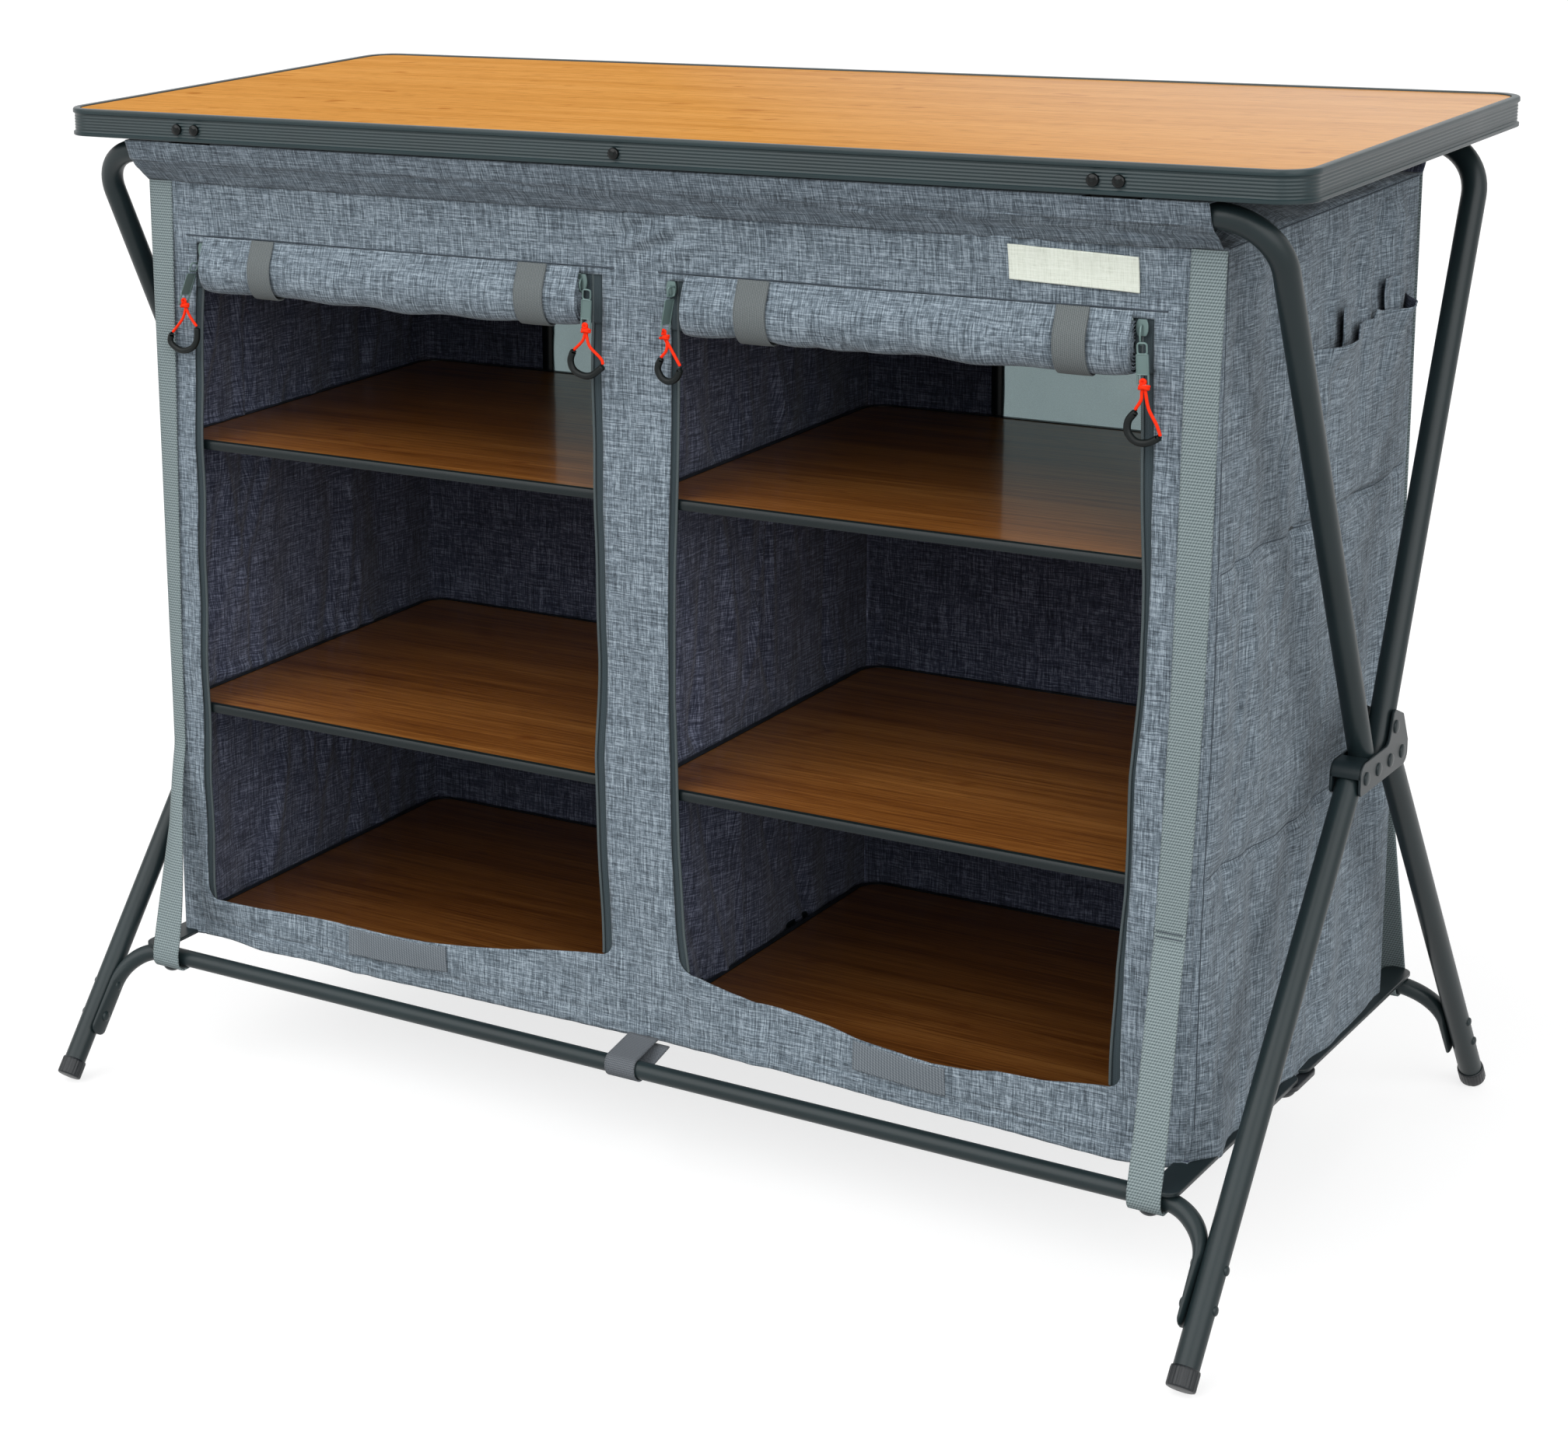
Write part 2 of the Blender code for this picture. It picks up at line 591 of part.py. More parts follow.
def make_bracket(hand):
    """A channel of two plates and a front web, with its five rivets through it."""
    centre = hand * TUBE_X
    outline = [(centre, y, z) for y, z in bracket_outline()]
    inner = extrude(outline, (hand, 0, 0), -CHANNEL - PLATE, -CHANNEL)
    outer = extrude(outline, (hand, 0, 0), CHANNEL, CHANNEL + PLATE)
    front = PIVOTS_Y[0] - PLATE_MARGIN
    high = RIVET_HEIGHT + PLATE_MARGIN
    stop = TOP_LEAN_FRONT * PLATE_MARGIN + (TUBE_R + GAP) * hypot(1, TOP_LEAN_FRONT)
    flange_end = PIVOTS_Y[1] - stop
    down = leg_direction(-1)
    ahead = PIVOTS_Y[0] + down.z * CHANNEL - (front + PLATE)
    web_low = RIVET_HEIGHT - down.y * CHANNEL - ahead * down.z / down.y
    corners = [(front, web_low), (front + PLATE, web_low), (front + PLATE, high - PLATE),
               (flange_end, high - PLATE), (flange_end, high), (front, high)]
    band = rounded(corners, [0, 0, PLATE_FILLET - PLATE, 0, 0, PLATE_FILLET], 4)
    web = extrude([(centre, y, z) for y, z in band], (hand, 0, 0), -CHANNEL - PLATE / 2, CHANNEL + PLATE / 2)
    rods = []
    for point in [pivot_point(index, centre) for index in range(4)] + [fixing_point(centre)]:
        reach = Vector((CHANNEL + PLATE / 2, 0, 0))
        skin = Vector((CHANNEL + PLATE, 0, 0))
        rods.append(cylinder(point - reach, point + reach, RIVET_SHANK / 2))
        for way in (-1, 1):
            start = point + reach * way
            rods.append(cylinder(start, point + skin * way, RIVET_HEAD / 2, domed=RIVET_HEAD_HEIGHT))
    mesh = combined(inner, [web, outer] + rods, "UNION")
    name = "hinge_bracket_" + ("right" if hand > 0 else "left")
    add_object(name, mesh, "bracket_steel", pivot_point(2, centre))


# Side rails

def rail_stations(hand):
    """The rail's front bolt, the link's two pins and the free rear end, seen from above."""
    x = hand * RAIL_X
    front = leg_y(-1, BAR_HEIGHT)
    rear = leg_y(1, BAR_HEIGHT)
    middle = (front + rear) / 2
    half = LINK_LENGTH / 2
    return [Vector((x, y, 0)) for y in (front, middle - half, middle + half, rear)]


def capsule(start, end, width, low, high):
    """A flat strip with round ends between two points, with its underside and top heights."""
    radius = width / 2
    points = []
    for centre, turn in ((start, pi), (end, 0)):
        for step in range(7):
            angle = turn + pi * step / 6
            points.append((centre.x + radius * cos(angle), centre.y + radius * sin(angle), 0))
    return extrude(points, (0, 0, 1), low, high)


def make_rail(hand):
    """Pivot bolt, front half, middle link and rear half of one side rail."""
    suffix = "_right" if hand > 0 else "_left"
    bolt, pin_front, pin_rear, rear = rail_stations(hand)
    up = Vector((0, 0, 1))
    for name, start, end, holes in (("front", bolt, pin_front, (bolt, pin_front)),
                                    ("rear", pin_rear, rear, (pin_rear,))):
        strip = capsule(start, end, RAIL_WIDTH, RAIL_BOTTOM, RAIL_TOP)
        cuts = []
        for spot in holes:
            low = spot + up * (RAIL_BOTTOM - OVERRUN)
            cuts.append(cylinder(low, spot + up * (RAIL_TOP + OVERRUN), PIN / 2 + GAP))
        strip = combined(strip, cuts, "DIFFERENCE")
        origin = (bolt if name == "front" else pin_rear) + up * RAIL_BOTTOM
        add_object("rail_" + name + suffix, strip, "coated_steel", origin)
    link_top = RAIL_BOTTOM - GAP
    link_low = link_top - RAIL_THICKNESS
    link = capsule(pin_front, pin_rear, LINK_WIDTH, link_low, link_top)
    rods = []
    for spot in (pin_front, pin_rear):
        rods.append(cylinder(spot + up * (link_low + GAP), spot + up * RAIL_TOP, PIN / 2))
        rods.append(cylinder(spot + up * (link_low + GAP), spot + up * link_low, PIN_DOME / 2,
                             domed=PIN_DOME_HEIGHT))
    add_object("rail_link" + suffix, combined(link, rods, "UNION"), "coated_steel", pin_front + up * RAIL_BOTTOM)
    head_top = BAR_HEIGHT - BAR_R - GAP
    shank = cylinder(bolt + up * (head_top - GAP), bolt + up * RAIL_TOP, PIN / 2)
    dome = cylinder(bolt + up * head_top, bolt + up * (head_top - GAP), BOLT_DOME / 2, domed=BOLT_DOME_HEIGHT)
    add_object("rail_bolt" + suffix, combined(dome, [shank], "UNION"), "bracket_steel", bolt + up * BAR_HEIGHT)


# Worktop

def rim_profile():
    """The rim's section as (inset from the outer edge, height) pairs, once round."""
    top = TABLE_HEIGHT
    low = top - RIM_HEIGHT
    slot_top = top - RIM_LIP_THICKNESS
    slot_low = slot_top - WORKTOP_THICKNESS - 2 * GAP
    flange = slot_low - RIM_FLANGE_THICKNESS
    face_low = low + RIM_BEAD_HEIGHT
    face_top = top - RIM_LIP_HEIGHT
    points = [(0, low), (0, face_low)]
    rib = (face_top - face_low) / (2 * RIM_RIBS)
    for index in range(RIM_RIBS):
        height = face_low + 2 * rib * index
        points += [(RIM_BEAD, height), (RIM_BEAD + RIM_RIB, height + rib), ]
    points += [(RIM_BEAD, face_top), (0, face_top), (0, top - RIM_CHAMFER), (RIM_CHAMFER, top)]
    points += [(RIM_LIP, top), (RIM_LIP, slot_top), (RIM_WALL, slot_top), (RIM_WALL, slot_low)]
    points += [(RIM_FLANGE, slot_low), (RIM_FLANGE, flange), (RIM_WALL, flange)]
    points += [(RIM_WALL, low + RIM_FLANGE_THICKNESS), (RIM_FLANGE, low + RIM_FLANGE_THICKNESS), (RIM_FLANGE, low)]
    return points


def make_worktop():
    """The board, and the extruded rim that goes round it."""
    rings = []
    for inset, height in rim_profile():
        outline = rounded_rectangle(TABLE_WIDTH - 2 * inset, TABLE_DEPTH - 2 * inset, TABLE_CORNER - inset)
        rings.append([Vector((point.x, point.y, height)) for point in outline])
    add_object("worktop_rim", loft(rings, closed=True), "rim_aluminium", hinge_axis_point())
    top = TABLE_HEIGHT - RIM_LIP_THICKNESS - GAP
    edge, face = RIM_WALL + GAP, RIM_LIP + GAP
    rings = []
    for inset, height in ((edge, top - WORKTOP_THICKNESS), (edge, top), (face, top), (face, top + BOARD_STEP)):
        outline = rounded_rectangle(TABLE_WIDTH - 2 * inset, TABLE_DEPTH - 2 * inset, TABLE_CORNER - inset)
        rings.append([Vector((point.x, point.y, height)) for point in outline])
    add_object("worktop_board", loft(rings), "worktop", hinge_axis_point())


def hinge_axis_point(x=0.0):
    """A point on the rear top bar's axis, about which the worktop tips up."""
    return Vector((x, TOP_BAR_REAR_Y, TOP_BAR_HEIGHT))


def make_clip(side, hand):
    """A moulded block under the worktop: a saddle in front, a hook round the bar behind."""
    bar_y = TOP_BAR_FRONT_Y if side < 0 else TOP_BAR_REAR_Y
    bore_r = TUBE_R + GAP
    before = SADDLE_ANGLE if side < 0 else HOOK_FRONT_ANGLE
    after = SADDLE_ANGLE if side < 0 else HOOK_REAR_ANGLE
    centre = (bar_y, TOP_BAR_HEIGHT)
    top = TABLE_HEIGHT - RIM_LIP_THICKNESS - WORKTOP_THICKNESS - 2 * GAP
    outer_r = bore_r + CLIP_WALL
    front = max(bar_y - CLIP_WIDTH / 2, -TABLE_DEPTH / 2 + RIM_FLANGE + GAP)
    rear = min(bar_y + CLIP_WIDTH / 2, TABLE_DEPTH / 2 - RIM_FLANGE - GAP)
    groove = arc_about(centre, bore_r, -before, after, 12)
    outline = list(groove)
    if side < 0:
        start = groove[0]
        outline += [(rear, groove[-1][1]), (rear, top), (front, top), (front, start[1])]
    else:
        shoulder = TOP_BAR_HEIGHT + bore_r * cos(after)
        hook = arc_about(centre, outer_r, -pi / 2, -before, 3)
        outline += [(rear, shoulder), (rear, top), (centre[0] - outer_r, top)] + hook
    mesh = extrude([(0, y, z) for y, z in outline], (1, 0, 0),
                   hand * CLIP_X - CLIP_LENGTH / 2, hand * CLIP_X + CLIP_LENGTH / 2)
    add_object(part_name("clip", side, hand), mesh, "black_plastic", hinge_axis_point(hand * CLIP_X))


# Fabric cupboard

def upright_outline(half_width, low, high, radius):
    """A panel with square top corners and round lower ones, as 2D points."""
    corners = [(-half_width, low), (half_width, low), (half_width, high), (-half_width, high)]
    return rounded(corners, [radius, radius, 0, 0])


def door_outline(hand):
    """A door opening with rounded corners and a sagging lower edge."""
    low_x, high_x = sorted((hand * DOOR_INNER_X, hand * DOOR_OUTER_X))
    corners = [(low_x, DOOR_BOTTOM), (high_x, DOOR_BOTTOM), (high_x, DOOR_TOP), (low_x, DOOR_TOP)]
    points = rounded(corners, [DOOR_CORNER, DOOR_CORNER, 0, 0])
    left = points[:CORNER_STEPS + 1]
    right = points[CORNER_STEPS + 1:]
    start, end = left[-1], right[0]
    steps = 8
    sag = []
    for step in range(1, steps):
        share = step / steps
        x = start.x + (end.x - start.x) * share
        sag.append(Vector((x, DOOR_BOTTOM - LIP_DIP * sin(pi * share) ** 2)))
    return left + sag + right


def make_front_and_back():
    """The front panel with its two door openings, and the plain back."""
    outline = upright_outline(SIDE_X, CUPBOARD_BOTTOM, CUPBOARD_TOP - CLOTH - GAP, CLOTH_CORNER)
    for name, side in (("front_panel", -1), ("back_panel", 1)):
        outer = side * FACE_Y
        inner = outer - side * CLOTH
        mesh = extrude([(point.x, 0, point.y) for point in outline], (0, 1, 0), outer, inner)
        if side < 0:
            cuts = []
            for hand in (-1, 1):
                hole = [(point.x, 0, point.y) for point in door_outline(hand)]
                cuts.append(extrude(hole, (0, 1, 0), outer - OVERRUN, inner + OVERRUN))
            mesh = combined(mesh, cuts, "DIFFERENCE")
        add_object(name, mesh, "grey_cloth")


def ledges(x_low, x_high, y_low, y_high):
    """The sewn ledges that carry the shelf boards, one for each level."""
    made = []
    for height in SHELF_HEIGHTS:
        top = height - BOARD_THICKNESS - GAP
        made.append(box((x_low, y_low, top - LEDGE_THICKNESS), (x_high, y_high, top)))
    return made


def make_sides():
    """The two side panels and the divider, each with ledges for the boards."""
    inner_y = FACE_Y - CLOTH - GAP
    low = CUPBOARD_BOTTOM
    high = CUPBOARD_TOP - CLOTH - GAP
    outline = upright_outline(inner_y, low, high, CLOTH_CORNER)
    ledge_y = inner_y - CLOTH_CORNER
    for hand in (-1, 1):
        panel = extrude([(0, point.x, point.y) for point in outline], (hand, 0, 0), SIDE_X - CLOTH, SIDE_X)
        inside = hand * (SIDE_X - CLOTH - LEDGE_WIDTH)
        low_x, high_x = sorted((inside, hand * (SIDE_X - CLOTH / 2)))
        panel = combined(panel, ledges(low_x, high_x, -ledge_y, ledge_y), "UNION")
        add_object("side_panel_" + ("right" if hand > 0 else "left"), panel, "grey_cloth")
    floor_top = CUPBOARD_BOTTOM + CLOTH + GAP
    divider = box((-CLOTH / 2, -inner_y, floor_top), (CLOTH / 2, inner_y, high))
    reach = CLOTH / 2 + LEDGE_WIDTH
    divider = combined(divider, ledges(-reach, reach, -ledge_y, ledge_y), "UNION")
    add_object("divider_panel", divider, "grey_cloth")


def make_floor_and_roof():
    """The floor cloth, and the roof with the flaps that reach the two top bars."""
    inner_x = SIDE_X - CLOTH - GAP
    inner_y = FACE_Y - CLOTH - GAP
    floor_y = inner_y - CLOTH_CORNER
    floor = box((-inner_x, -inner_y, CUPBOARD_BOTTOM), (inner_x, inner_y, CUPBOARD_BOTTOM + CLOTH))
    add_object("floor_panel", floor, "grey_cloth")
    outline = []
    for side, bar_y in ((-1, TOP_BAR_FRONT_Y), (1, TOP_BAR_REAR_Y)):
        edge = Vector((side * FACE_Y, CUPBOARD_TOP - CLOTH))
        centre = Vector((bar_y, TOP_BAR_HEIGHT))
        away = centre - edge
        keep = TUBE_R + 2 * GAP
        swing = acos(keep / away.length)
        bearing = atan2(-away.y, -away.x)
        turn = bearing + side * swing
        touch = centre + Vector((cos(turn), sin(turn))) * keep
        outward = (touch - centre).normalized() * VALANCE
        slope = (touch - edge).normalized()
        foot = edge + outward - slope * (outward.y / slope.y)
        end = touch - slope * VALANCE_STOP
        outline.append([edge, foot, end + outward, end, Vector((side * FACE_Y, CUPBOARD_TOP))])
    front, rear = outline
    points = front + rear[::-1]
    mesh = extrude([(0, point.x, point.y) for point in points], (1, 0, 0), -SIDE_X, SIDE_X)
    add_object("roof_panel", mesh, "grey_cloth")


def board_limits(hand):
    """X limits of the boards in the left or the right column."""
    near = CLOTH / 2 + BOARD_PLAY
    far = SIDE_X - CLOTH - BOARD_PLAY
    return sorted((hand * near, hand * far))


def make_boards():
    """Two floor boards and four shelf boards with rounded corners."""
    floor_top = CUPBOARD_BOTTOM + CLOTH + GAP + BOARD_THICKNESS
    depth = 2 * (FACE_Y - CLOTH - BOARD_PLAY)
    for hand, place in ((-1, "left"), (1, "right")):
        low, high = board_limits(hand)
        outline = rounded_rectangle(high - low, depth, BOARD_CORNER, ((low + high) / 2, 0))
        for name, top in (("floor_board_", floor_top), ("lower_shelf_board_", SHELF_HEIGHTS[0]),
                          ("upper_shelf_board_", SHELF_HEIGHTS[1])):
            points = [(point.x, point.y, 0) for point in outline]
            mesh = extrude(points, (0, 0, 1), top - BOARD_THICKNESS, top)
            add_object(name + place, mesh, "board")


def oval(centre, depth, height, sides):
    """An upright oval of 2D points (y, z)."""
    turns = [2 * pi * index / sides for index in range(sides)]
    return [(centre[0] + depth / 2 * cos(t), centre[1] + height / 2 * sin(t)) for t in turns]


def make_rolls():
    """The rolled-up doors under the header, each in two elastic ties."""
    centre = (-FACE_Y + CLOTH / 2, DOOR_TOP - ROLL_HEIGHT / 2 - 2 * GAP - TIE_THICKNESS)
    for hand, place in ((-1, "left"), (1, "right")):
        low, high = sorted((hand * (DOOR_INNER_X + ROLL_END_PLAY), hand * (DOOR_OUTER_X - ROLL_END_PLAY)))
        rings = []
        for x, inset in ((low, ROLL_ROUND), (low + ROLL_ROUND / 3, ROLL_ROUND / 4), (low + ROLL_ROUND, 0),
                         (high - ROLL_ROUND, 0), (high - ROLL_ROUND / 3, ROLL_ROUND / 4), (high, ROLL_ROUND)):
            ring = oval(centre, ROLL_DEPTH - 2 * inset, ROLL_HEIGHT - 2 * inset, 16)
            rings.append([(x, y, z) for y, z in ring])
        add_object("door_roll_" + place, loft(rings), "grey_cloth")
        for share, where in zip(TIE_SHARES, ("outer", "inner") if hand < 0 else ("inner", "outer")):
            middle = low + (high - low) * share
            inside = oval(centre, ROLL_DEPTH + 2 * GAP, ROLL_HEIGHT + 2 * GAP, 16)
            grow = 2 * (GAP + TIE_THICKNESS)
            outside = oval(centre, ROLL_DEPTH + grow, ROLL_HEIGHT + grow, 16)
            edges = [middle - TIE_WIDTH / 2, middle + TIE_WIDTH / 2]
            loops = [[(edges[0], y, z) for y, z in inside], [(edges[0], y, z) for y, z in outside],
                     [(edges[1], y, z) for y, z in outside], [(edges[1], y, z) for y, z in inside]]
            add_object("roll_tie_" + place + "_" + where, loft(loops, closed=True), "elastic")


def make_straps():
    """Webbing down the front and the back that ends over the base bars."""
    for side in (-1, 1):
        skin = side * (FACE_Y + GAP)
        end_y = leg_y(side, BAR_HEIGHT) + side * (BAR_R - STRAP_THICKNESS)
        end_z = RAIL_TOP + STRAP_RAIL_PLAY
        top = CUPBOARD_TOP - CLOTH - GAP
        path = [(skin, top), (skin, STRAP_LEAVE_HEIGHT), (end_y, end_z)]
        for hand in (-1, 1):
            points = path if side < 0 else path[::-1]
            mesh = ribbon([Vector(point) for point in points], STRAP_THICKNESS,
                          hand * STRAP_X - STRAP_WIDTH / 2, hand * STRAP_X + STRAP_WIDTH / 2)
            add_object(part_name("strap", side, hand), mesh, "webbing")


# Zips and label

def make_zip(hand, edge):
    """A slider at the top of one edge of a door, and the pull that hangs from it."""
    inner = edge == "inner"
    x = hand * (DOOR_INNER_X + ZIP_X_INSET if inner else DOOR_OUTER_X - ZIP_X_INSET)
    place = ("right" if hand > 0 else "left") + "_" + edge
    skin = -FACE_Y - GAP
    top = DOOR_TOP - SLIDER_DROP
    low = top - SLIDER_HEIGHT
    wide, slim = SLIDER_WIDTH / 2, SLIDER_WIDTH * SLIDER_NOSE_SHARE
    middle = (top + low) / 2
    outline = [(x - slim, skin, low), (x + slim, skin, low), (x + wide, skin, middle), (x + wide, skin, top),
               (x - wide, skin, top), (x - wide, skin, middle)]
    slider = extrude(outline, (0, -1, 0), 0, SLIDER_DEPTH / 2)
    bridge_z = top - SLIDER_HEIGHT * BRIDGE_SHARE
    bar_y = skin - SLIDER_DEPTH / 2 - 2 * GAP - PULL_PIN / 2 - TAB_THICKNESS
    arms = []
    for way in (-1, 1):
        side = x + way * (TAB_WIDTH / 2 + GAP)
        start, end = sorted((side, side + way * PULL_PIN / 2))
        low_corner = (start, bar_y - PULL_PIN / 2 - GAP, bridge_z - PULL_PIN)
        arms.append(box(low_corner, (end, skin - SLIDER_DEPTH / 4, bridge_z + PULL_PIN)))
    pin = cylinder((x - TAB_WIDTH / 2 - 2 * GAP, bar_y, bridge_z), (x + TAB_WIDTH / 2 + 2 * GAP, bar_y, bridge_z),
                   PULL_PIN / 2, 8)
    slider = combined(slider, arms + [pin], "UNION")
    add_object("zip_slider_" + place, slider, "zinc", (x, skin, bridge_z))
    make_pull(x, bar_y, bridge_z, place)


def make_pull(x, bar_y, bridge_z, place):
    """A metal tab with its eye on the slider's pin, a cord loop and a curved grip."""
    eye = PULL_PIN / 2 + GAP
    face = bar_y
    tab_low = bridge_z - TAB_LENGTH
    half = TAB_WIDTH / 2
    knuckle = cylinder((x - half, bar_y, bridge_z), (x + half, bar_y, bridge_z), eye + TAB_THICKNESS)
    tab = box((x - half, face - TAB_THICKNESS / 2, tab_low), (x + half, face + TAB_THICKNESS / 2, bridge_z))
    centre_z = tab_low - CORD_DROP
    grip_path = []
    for step in range(GRIP_STEPS + 1):
        angle = pi + pi * step / GRIP_STEPS
        grip_path.append(Vector((x + GRIP_RADIUS * cos(angle), face, centre_z + GRIP_RADIUS * sin(angle))))
    grip = swept(grip_path, Vector((0, 1, 0)), [(GRIP / 2, GRIP / 2)] * len(grip_path), CORD_SIDES)
    knot = tab_low + TAB_WIDTH / 2
    cords = []
    for way in (-1, 1):
        end = (x + way * GRIP_RADIUS, face, centre_z - CORD)
        cords.append(cylinder((x + way * CORD / 3, face, knot), end, CORD / 2, CORD_SIDES))
    mesh = combined(tab, [knuckle] + cords + [grip], "UNION")
    hole = cylinder((x - half - OVERRUN, bar_y, bridge_z), (x + half + OVERRUN, bar_y, bridge_z), eye)
    mesh = combined(mesh, [hole], "DIFFERENCE")
    add_object("zip_pull_" + place, mesh, "zinc", (x, bar_y, bridge_z))


def make_label():
    """The bare label sewn to the header at the right."""
    front = -FACE_Y - GAP - LABEL_THICKNESS
    low = (LABEL_X - LABEL_WIDTH / 2, front, LABEL_Z - LABEL_HEIGHT / 2)
    high = (LABEL_X + LABEL_WIDTH / 2, -FACE_Y - GAP, LABEL_Z + LABEL_HEIGHT / 2)
    add_object("bare_label", box(low, high), "label_cloth")


def build():
    """Makes the whole cupboard."""
    clear_scene()
    for side in (-1, 1):
        make_top_frame(side)
        make_base_bar(side)
        for hand in (-1, 1):
            make_leg(side, hand)
            make_foot_cap(side, hand)
            make_clip(side, hand)
    for hand in (-1, 1):
        make_bracket(hand)
        make_rail(hand)
        for edge in ("inner", "outer"):
            make_zip(hand, edge)
    make_worktop()
    make_front_and_back()
    make_sides()
    make_floor_and_roof()
    make_boards()
    make_rolls()
    make_straps()
    make_label()


build()
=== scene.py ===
"""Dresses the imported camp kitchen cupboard: a satin tube frame, a ribbed worktop rim, wood-grain boards
and a sewn cupboard of heathered grey cloth with rolled-up doors, zips, elastic ties and webbing.

Metres, +Z up; the doors face -Y and the floor is Z = 0. Each new piece is a surface worked out with
numpy: a grid of points from two parameters, put into a mesh as whole arrays.
"""

from math import acos, atan2, cos, hypot, pi, radians, sin

import bmesh
import bpy
import numpy as np
from mathutils import Matrix, Vector


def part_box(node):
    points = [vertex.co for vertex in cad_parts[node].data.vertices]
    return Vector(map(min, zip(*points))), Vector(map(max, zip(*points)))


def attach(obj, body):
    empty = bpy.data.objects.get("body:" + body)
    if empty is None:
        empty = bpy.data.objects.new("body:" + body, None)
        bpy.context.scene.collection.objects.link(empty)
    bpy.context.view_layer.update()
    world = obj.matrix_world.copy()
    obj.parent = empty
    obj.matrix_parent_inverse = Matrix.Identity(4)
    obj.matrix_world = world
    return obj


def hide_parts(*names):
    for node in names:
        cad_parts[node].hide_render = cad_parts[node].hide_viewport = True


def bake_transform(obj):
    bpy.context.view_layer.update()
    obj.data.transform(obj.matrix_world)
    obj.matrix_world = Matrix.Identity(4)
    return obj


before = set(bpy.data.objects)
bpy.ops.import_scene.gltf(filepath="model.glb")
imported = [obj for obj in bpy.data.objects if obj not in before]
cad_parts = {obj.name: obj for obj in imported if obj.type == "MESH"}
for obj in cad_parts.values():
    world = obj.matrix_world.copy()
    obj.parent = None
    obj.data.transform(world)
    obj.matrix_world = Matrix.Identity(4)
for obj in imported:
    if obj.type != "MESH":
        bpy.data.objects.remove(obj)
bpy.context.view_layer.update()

# Sizes of the frame, as the solids have them
TUBE_X = 0.490
TUBE_R = 0.009
BAR_R = 0.007
PIVOT_Z = 0.357
PIVOTS_Y = (-0.022, 0.003, 0.028, 0.053)
FOOT_Y = 0.3132
TOP_BAR_Z = 0.7835
TOP_BARS_Y = {-1: -0.2094, 1: 0.2047}
TOP_BEND = 0.042
BAR_Z = 0.101
BAR_BEND = 0.036
BAR_END_Z = 0.037
# Half sizes of a base bar's pressed ends, and heights of the rivets through them
FLAT = (0.0022, 0.0095)
END_RIVETS_Z = (0.050, 0.072)
# The worktop's width, depth and top, and its corners' radius
TABLE = (1.030, 0.454, 0.817)
TABLE_CORNER = 0.026
# Places of the side rails, their bolts and the clips under the worktop, and half a clip's notch in a flap
RAIL_X = 0.431
BOLT_X = 0.434
CLIP_X = 0.384
CLIP_ROOM = 0.0200
# The notch round a rear clip starts at this row of the rear flap's cloth
REAR_NOTCH_ROW = 7
# Places of the screws in the rim's front
SCREWS_X = (-0.3943, -0.3768, 0.0080, 0.3718, 0.3897)
# The side rails lie this far further out than the solids' strips, which clear the folding bars
RAIL_SHIFT = 0.0145

# Sizes of the cupboard
SIDE_X = 0.450
FACE_Y = 0.195
ROOF_Z = 0.7595
FLOOR_Z = 0.1119
DOORS = ((-0.4030, -0.0222), (0.0356, 0.4026))
DOOR_TOP = 0.7092
CLOTH = 0.0014
STRIP = 0.030
STRAP_X = 0.437
STRAP_WIDTH = 0.025
# The straps' middle line: how far off the cloth, how far from the middle, and where it leaves the cloth
STRAP_OFF = 0.0022
SKIN = FACE_Y + STRAP_OFF
STRAP_FREE_Z = 0.283
# Radii of the upright corners and of the doors' corners, and the seam that the rolled doors hang from
CORNER = 0.0065
DOOR_CORNER = 0.010
DOOR_SEAM_Z = 0.7150
# How far the roof's flap draws the header's top edge forward
HEADER_LEAN = 0.0055
WINDOWS = ((-0.3110, -0.1050), (0.1215, 0.3400))
WINDOW_Z = (0.5350, 0.7090)
# Pitch of the zips' teeth, and the depth at which their pulls hang
TOOTH = 0.0015
PULL_Y = -0.2042
LABEL_X = (0.3025, 0.3935)
LABEL_Z = (0.7300, 0.7545)
LEDGES_Z = (0.313, 0.540)
LEVELS = ("floor", "lower_shelf", "upper_shelf")
HANDS = {"left": -1, "right": 1}
PLACES = {"front": -1, "rear": 1}

# The doors' sagging lower edges and the cupboard's lower hem, as (x, z)
LIP_LEFT = np.array([(-0.4165, 0.1450), (-0.369, 0.1440), (-0.332, 0.1444), (-0.272, 0.1472),
                     (-0.233, 0.1485), (-0.194, 0.1503), (-0.156, 0.1538), (-0.119, 0.1578),
                     (-0.082, 0.1642), (-0.046, 0.1698), (-0.0205, 0.1728)])
LIP_RIGHT = np.array([(0.0405, 0.1730), (0.058, 0.1708), (0.085, 0.1640), (0.105, 0.1602), (0.125, 0.1588),
                      (0.145, 0.1564), (0.164, 0.1541), (0.190, 0.1502), (0.2215, 0.1490), (0.2527, 0.1462),
                      (0.2834, 0.1470), (0.3015, 0.1502), (0.3374, 0.1504), (0.3609, 0.1538),
                      (0.3812, 0.1562), (0.3943, 0.1576)])
HEM = np.array([(-0.450, 0.1085), (-0.385, 0.1094), (-0.354, 0.1060), (-0.313, 0.1073), (-0.234, 0.1075),
                (-0.157, 0.1088), (-0.047, 0.1102), (0.058, 0.1114), (0.125, 0.1110), (0.190, 0.1085),
                (0.284, 0.1062), (0.344, 0.1051), (0.403, 0.1040), (0.450, 0.1085)])
